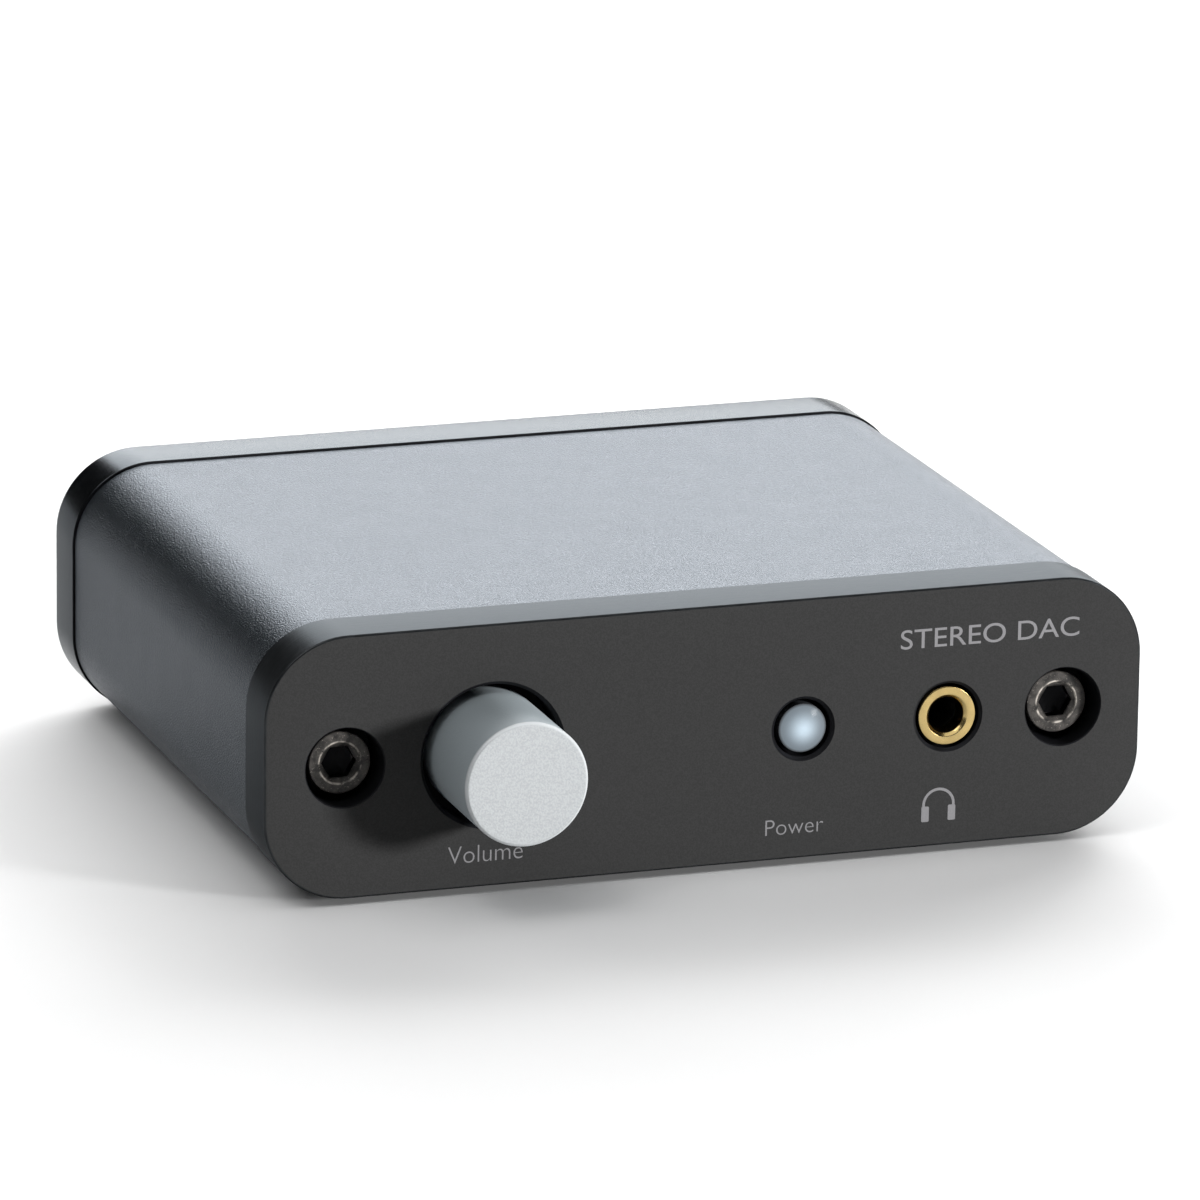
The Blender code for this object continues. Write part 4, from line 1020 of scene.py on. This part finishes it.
def flat_mark(name, body, face_y, loops, material):
    """Thin printed shape on the front face from outlines in X and Z."""
    curve = bpy.data.curves.new(name, "CURVE")
    curve.dimensions = "2D"
    curve.fill_mode = "BOTH"
    curve.extrude = INK_THICKNESS / 2
    for loop in loops:
        spline = curve.splines.new("POLY")
        spline.points.add(len(loop) - 1)
        for point, (x, z) in zip(spline.points, loop):
            point.co = (x, z, 0, 1)
        spline.use_cyclic_u = True
    print_on_face(name, curve, face_y, material, body)


def print_on_face(name, curve, face_y, material, body, fit=None):
    """Turn a flat curve or text into ink on the face, stretched into a box."""
    blank = bpy.data.objects.new(name, curve)
    bpy.context.scene.collection.objects.link(blank)
    bpy.context.view_layer.update()
    depsgraph = bpy.context.evaluated_depsgraph_get()
    mesh = bpy.data.meshes.new_from_object(blank.evaluated_get(depsgraph))
    bpy.data.objects.remove(blank)
    mesh.name = name
    solid = bmesh.new()
    solid.from_mesh(mesh)
    bmesh.ops.remove_doubles(solid, verts=solid.verts, dist=TINY)
    bmesh.ops.rotate(solid, verts=solid.verts, matrix=Matrix.Rotation(math.pi / 2, 3, "X"))
    if fit:
        left, right, bottom, top = fit
        low_x = min(vert.co.x for vert in solid.verts)
        high_x = max(vert.co.x for vert in solid.verts)
        for vert in solid.verts:
            vert.co.x = left + (vert.co.x - low_x) * (right - left) / (high_x - low_x)
            vert.co.z = bottom + vert.co.z * (top - bottom)
    bmesh.ops.translate(solid, verts=solid.verts, vec=(0, face_y - 0.3 * INK_THICKNESS, 0))
    for face in solid.faces:
        face.smooth = False
    solid.to_mesh(mesh)
    solid.free()
    mesh.materials.clear()
    mesh.materials.append(material)
    item = bpy.data.objects.new(name, mesh)
    bpy.context.scene.collection.objects.link(item)
    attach(item, body)


def word(name, text, face_y, material, left, right, base, cap_height, weight=0.0):
    """A generic word whose capitals stand on a line."""
    curve = bpy.data.curves.new(name, "FONT")
    curve.body = text
    curve.size = 1.0
    curve.extrude = INK_THICKNESS / 2
    curve.offset = weight
    curve.resolution_u = 6
    probe = bpy.data.curves.new(name + "_capital", "FONT")
    probe.body = "H"
    capital = bpy.data.objects.new(name + "_capital", probe)
    bpy.context.scene.collection.objects.link(capital)
    bpy.context.view_layer.update()
    cap = capital.dimensions.y
    bpy.data.objects.remove(capital)
    bpy.data.curves.remove(probe)
    fit = (left, right, base, base + cap_height / cap)
    print_on_face(name, curve, face_y, material, "chassis", fit)


def headphone_symbol(face_y, material, centre_x, base):
    """Headband and two cups."""
    radius = 1.68 * MM
    band = 0.27 * MM
    cup_width = 0.78 * MM
    cup_height = 1.55 * MM
    cup_reach = radius + 0.08 * MM
    steps = 32

    def arch(reach):
        angles = [math.pi * step / steps for step in range(steps + 1)]
        return [
            (centre_x + reach * math.cos(angle), base + radius + reach * math.sin(angle))
            for angle in angles]

    outer = arch(radius)
    inner = arch(radius - band)[::-1]
    foot = base + cup_height
    band_loop = [(outer[0][0], foot)] + outer + [(outer[-1][0], foot), (inner[0][0], foot)]
    band_loop += inner + [(inner[-1][0], foot)]
    flat_mark("headphone_mark_band", "chassis", face_y, [band_loop], material)
    for side, name in ((-1, "left"), (1, "right")):
        inside = centre_x + side * (cup_reach - cup_width)
        outside = centre_x + side * cup_reach
        left, right = sorted((inside, outside))
        cup = rounded_box(
            (left + right) / 2, base + cup_height / 2, (right - left) / 2, cup_height / 2, 0.14 * MM)
        flat_mark(f"headphone_mark_{name}", "chassis", face_y, [cup()], material)


def build_marks():
    """Generic lettering and the headphone symbol on the front face."""
    face_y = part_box("front_panel")[0].y
    level = box_of("front_panel")[2].z
    lower = level + LOWER_LINE
    ink = printed_ink("ink_light_grey").material
    word(
        "mark_volume", "Volume", face_y, ink, -26.2 * MM, -18.7 * MM, lower, 1.74 * MM,
        THIN_STROKE)
    word("mark_power", "Power", face_y, ink, 5.95 * MM, 11.9 * MM, lower, 1.6 * MM, THIN_STROKE)
    word(
        "mark_title", "STEREO DAC", face_y, ink, 19.5 * MM, 38.0 * MM, level + TITLE_LINE,
        1.9 * MM)
    headphone_symbol(face_y, ink, 23.78 * MM, lower)


# -------------------------------------------------------------------- studio


def softbox(name, place, target, width, height, radiance, glare=True):
    """Rectangular light that faces its target.

    One without glare is like a polarised lamp: it lights surfaces but isn't
    mirrored in them.
    """
    light = bpy.data.lights.new(name, "AREA")
    light.shape = "RECTANGLE"
    light.size = width
    light.size_y = height
    light.energy = radiance * math.pi * width * height
    item = bpy.data.objects.new(name, light)
    item.location = place
    item.rotation_euler = (Vector(target) - Vector(place)).to_track_quat("-Z", "Y").to_euler()
    item.visible_glossy = glare
    bpy.context.scene.collection.objects.link(item)
    return item


def keep_off(floor, *lamps):
    """Let some lamps light the object only, as if flagged off the floor."""
    lit = bpy.data.collections.new("lit_object")
    for item in bpy.context.scene.objects:
        if item.type == "MESH" and item != floor:
            lit.objects.link(item)
    for lamp in lamps:
        lamp.light_linking.receiver_collection = lit


def build_room():
    """World that is dark all round but a little paler on one side."""
    world = bpy.data.worlds.new("studio")
    world.use_nodes = True
    nodes = world.node_tree.nodes
    links = world.node_tree.links
    background = nodes["Background"]
    background.inputs["Color"].default_value = (0.86, 0.93, 1.0, 1)
    direction = nodes.new("ShaderNodeTexCoord").outputs["Generated"]
    towards = nodes.new("ShaderNodeVectorMath")
    towards.operation = "DOT_PRODUCT"
    towards.inputs[1].default_value = BRIGHT_SIDE.normalized()
    links.new(direction, towards.inputs[0])
    ramp = nodes.new("ShaderNodeMapRange")
    ramp.interpolation_type = "SMOOTHSTEP"
    for socket, number in zip(
            ("From Min", "From Max", "To Min", "To Max"), (0.3, 0.97, 0.02, 0.08)):
        ramp.inputs[socket].default_value = number
    links.new(towards.outputs["Value"], ramp.inputs["Value"])
    links.new(ramp.outputs[0], background.inputs["Strength"])
    bpy.context.scene.world = world


def build_floor():
    """Plain pale floor."""
    mesh = bpy.data.meshes.new("floor")
    solid = bmesh.new()
    bmesh.ops.create_grid(solid, x_segments=1, y_segments=1, size=FLOOR_SIZE / 2)
    solid.to_mesh(mesh)
    solid.free()
    paper = Surface("floor_paper", (0.82, 0.82, 0.82), 0.9)
    paper.tint(
        paper.spread(paper.noise(40 * MM, 3.0), 0.3, 0.7), (0.83, 0.83, 0.83), (0.81, 0.81, 0.81))
    mesh.materials.append(paper.material)
    floor = bpy.data.objects.new("floor", mesh)
    bpy.context.scene.collection.objects.link(floor)
    return floor


def build_lights(floor):
    """Large soft lights all round, and a small key light at the right."""
    for name, place, width, height, radiance in SOFT_LIGHTS:
        softbox(name, place, (0, 0, 0), width, height, radiance)
    softbox("key_light", KEY_PLACE, KEY_TARGET, *KEY_SIZE, 160.0, False)
    spot = softbox("key_light_on_object", KEY_PLACE, KEY_TARGET, *KEY_SIZE, 255.0, False)
    # Just in front of the key light, so that neither lamp hides the other
    glint = softbox("glint_light", 0.98 * KEY_PLACE, KEY_TARGET, *GLINT_SIZE, 22.0)
    keep_off(floor, spot, glint)


def build_camera():
    """Camera at the angle of the reference view."""
    data = bpy.data.cameras.new("camera")
    data.lens = CAMERA_LENS
    data.sensor_width = SENSOR_WIDTH
    data.clip_start = 0.05
    camera = bpy.data.objects.new("camera", data)
    aim = CAMERA_FORWARD.to_track_quat("-Z", "Y").to_matrix().to_4x4()
    camera.matrix_world = (
        Matrix.Translation(CAMERA_PLACE) @ aim @ Matrix.Rotation(CAMERA_ROLL, 4, "Z"))
    bpy.context.scene.collection.objects.link(camera)
    bpy.context.scene.camera = camera
    bpy.context.scene.view_settings.view_transform = "Standard"


plain_materials()
build_front_panel()
build_rear_panel()
build_sleeve()
build_screws()
build_feet()
build_knob()
build_button()
build_jack()
build_phono()
build_data_socket()
build_marks()
build_room()
build_lights(build_floor())
build_camera()
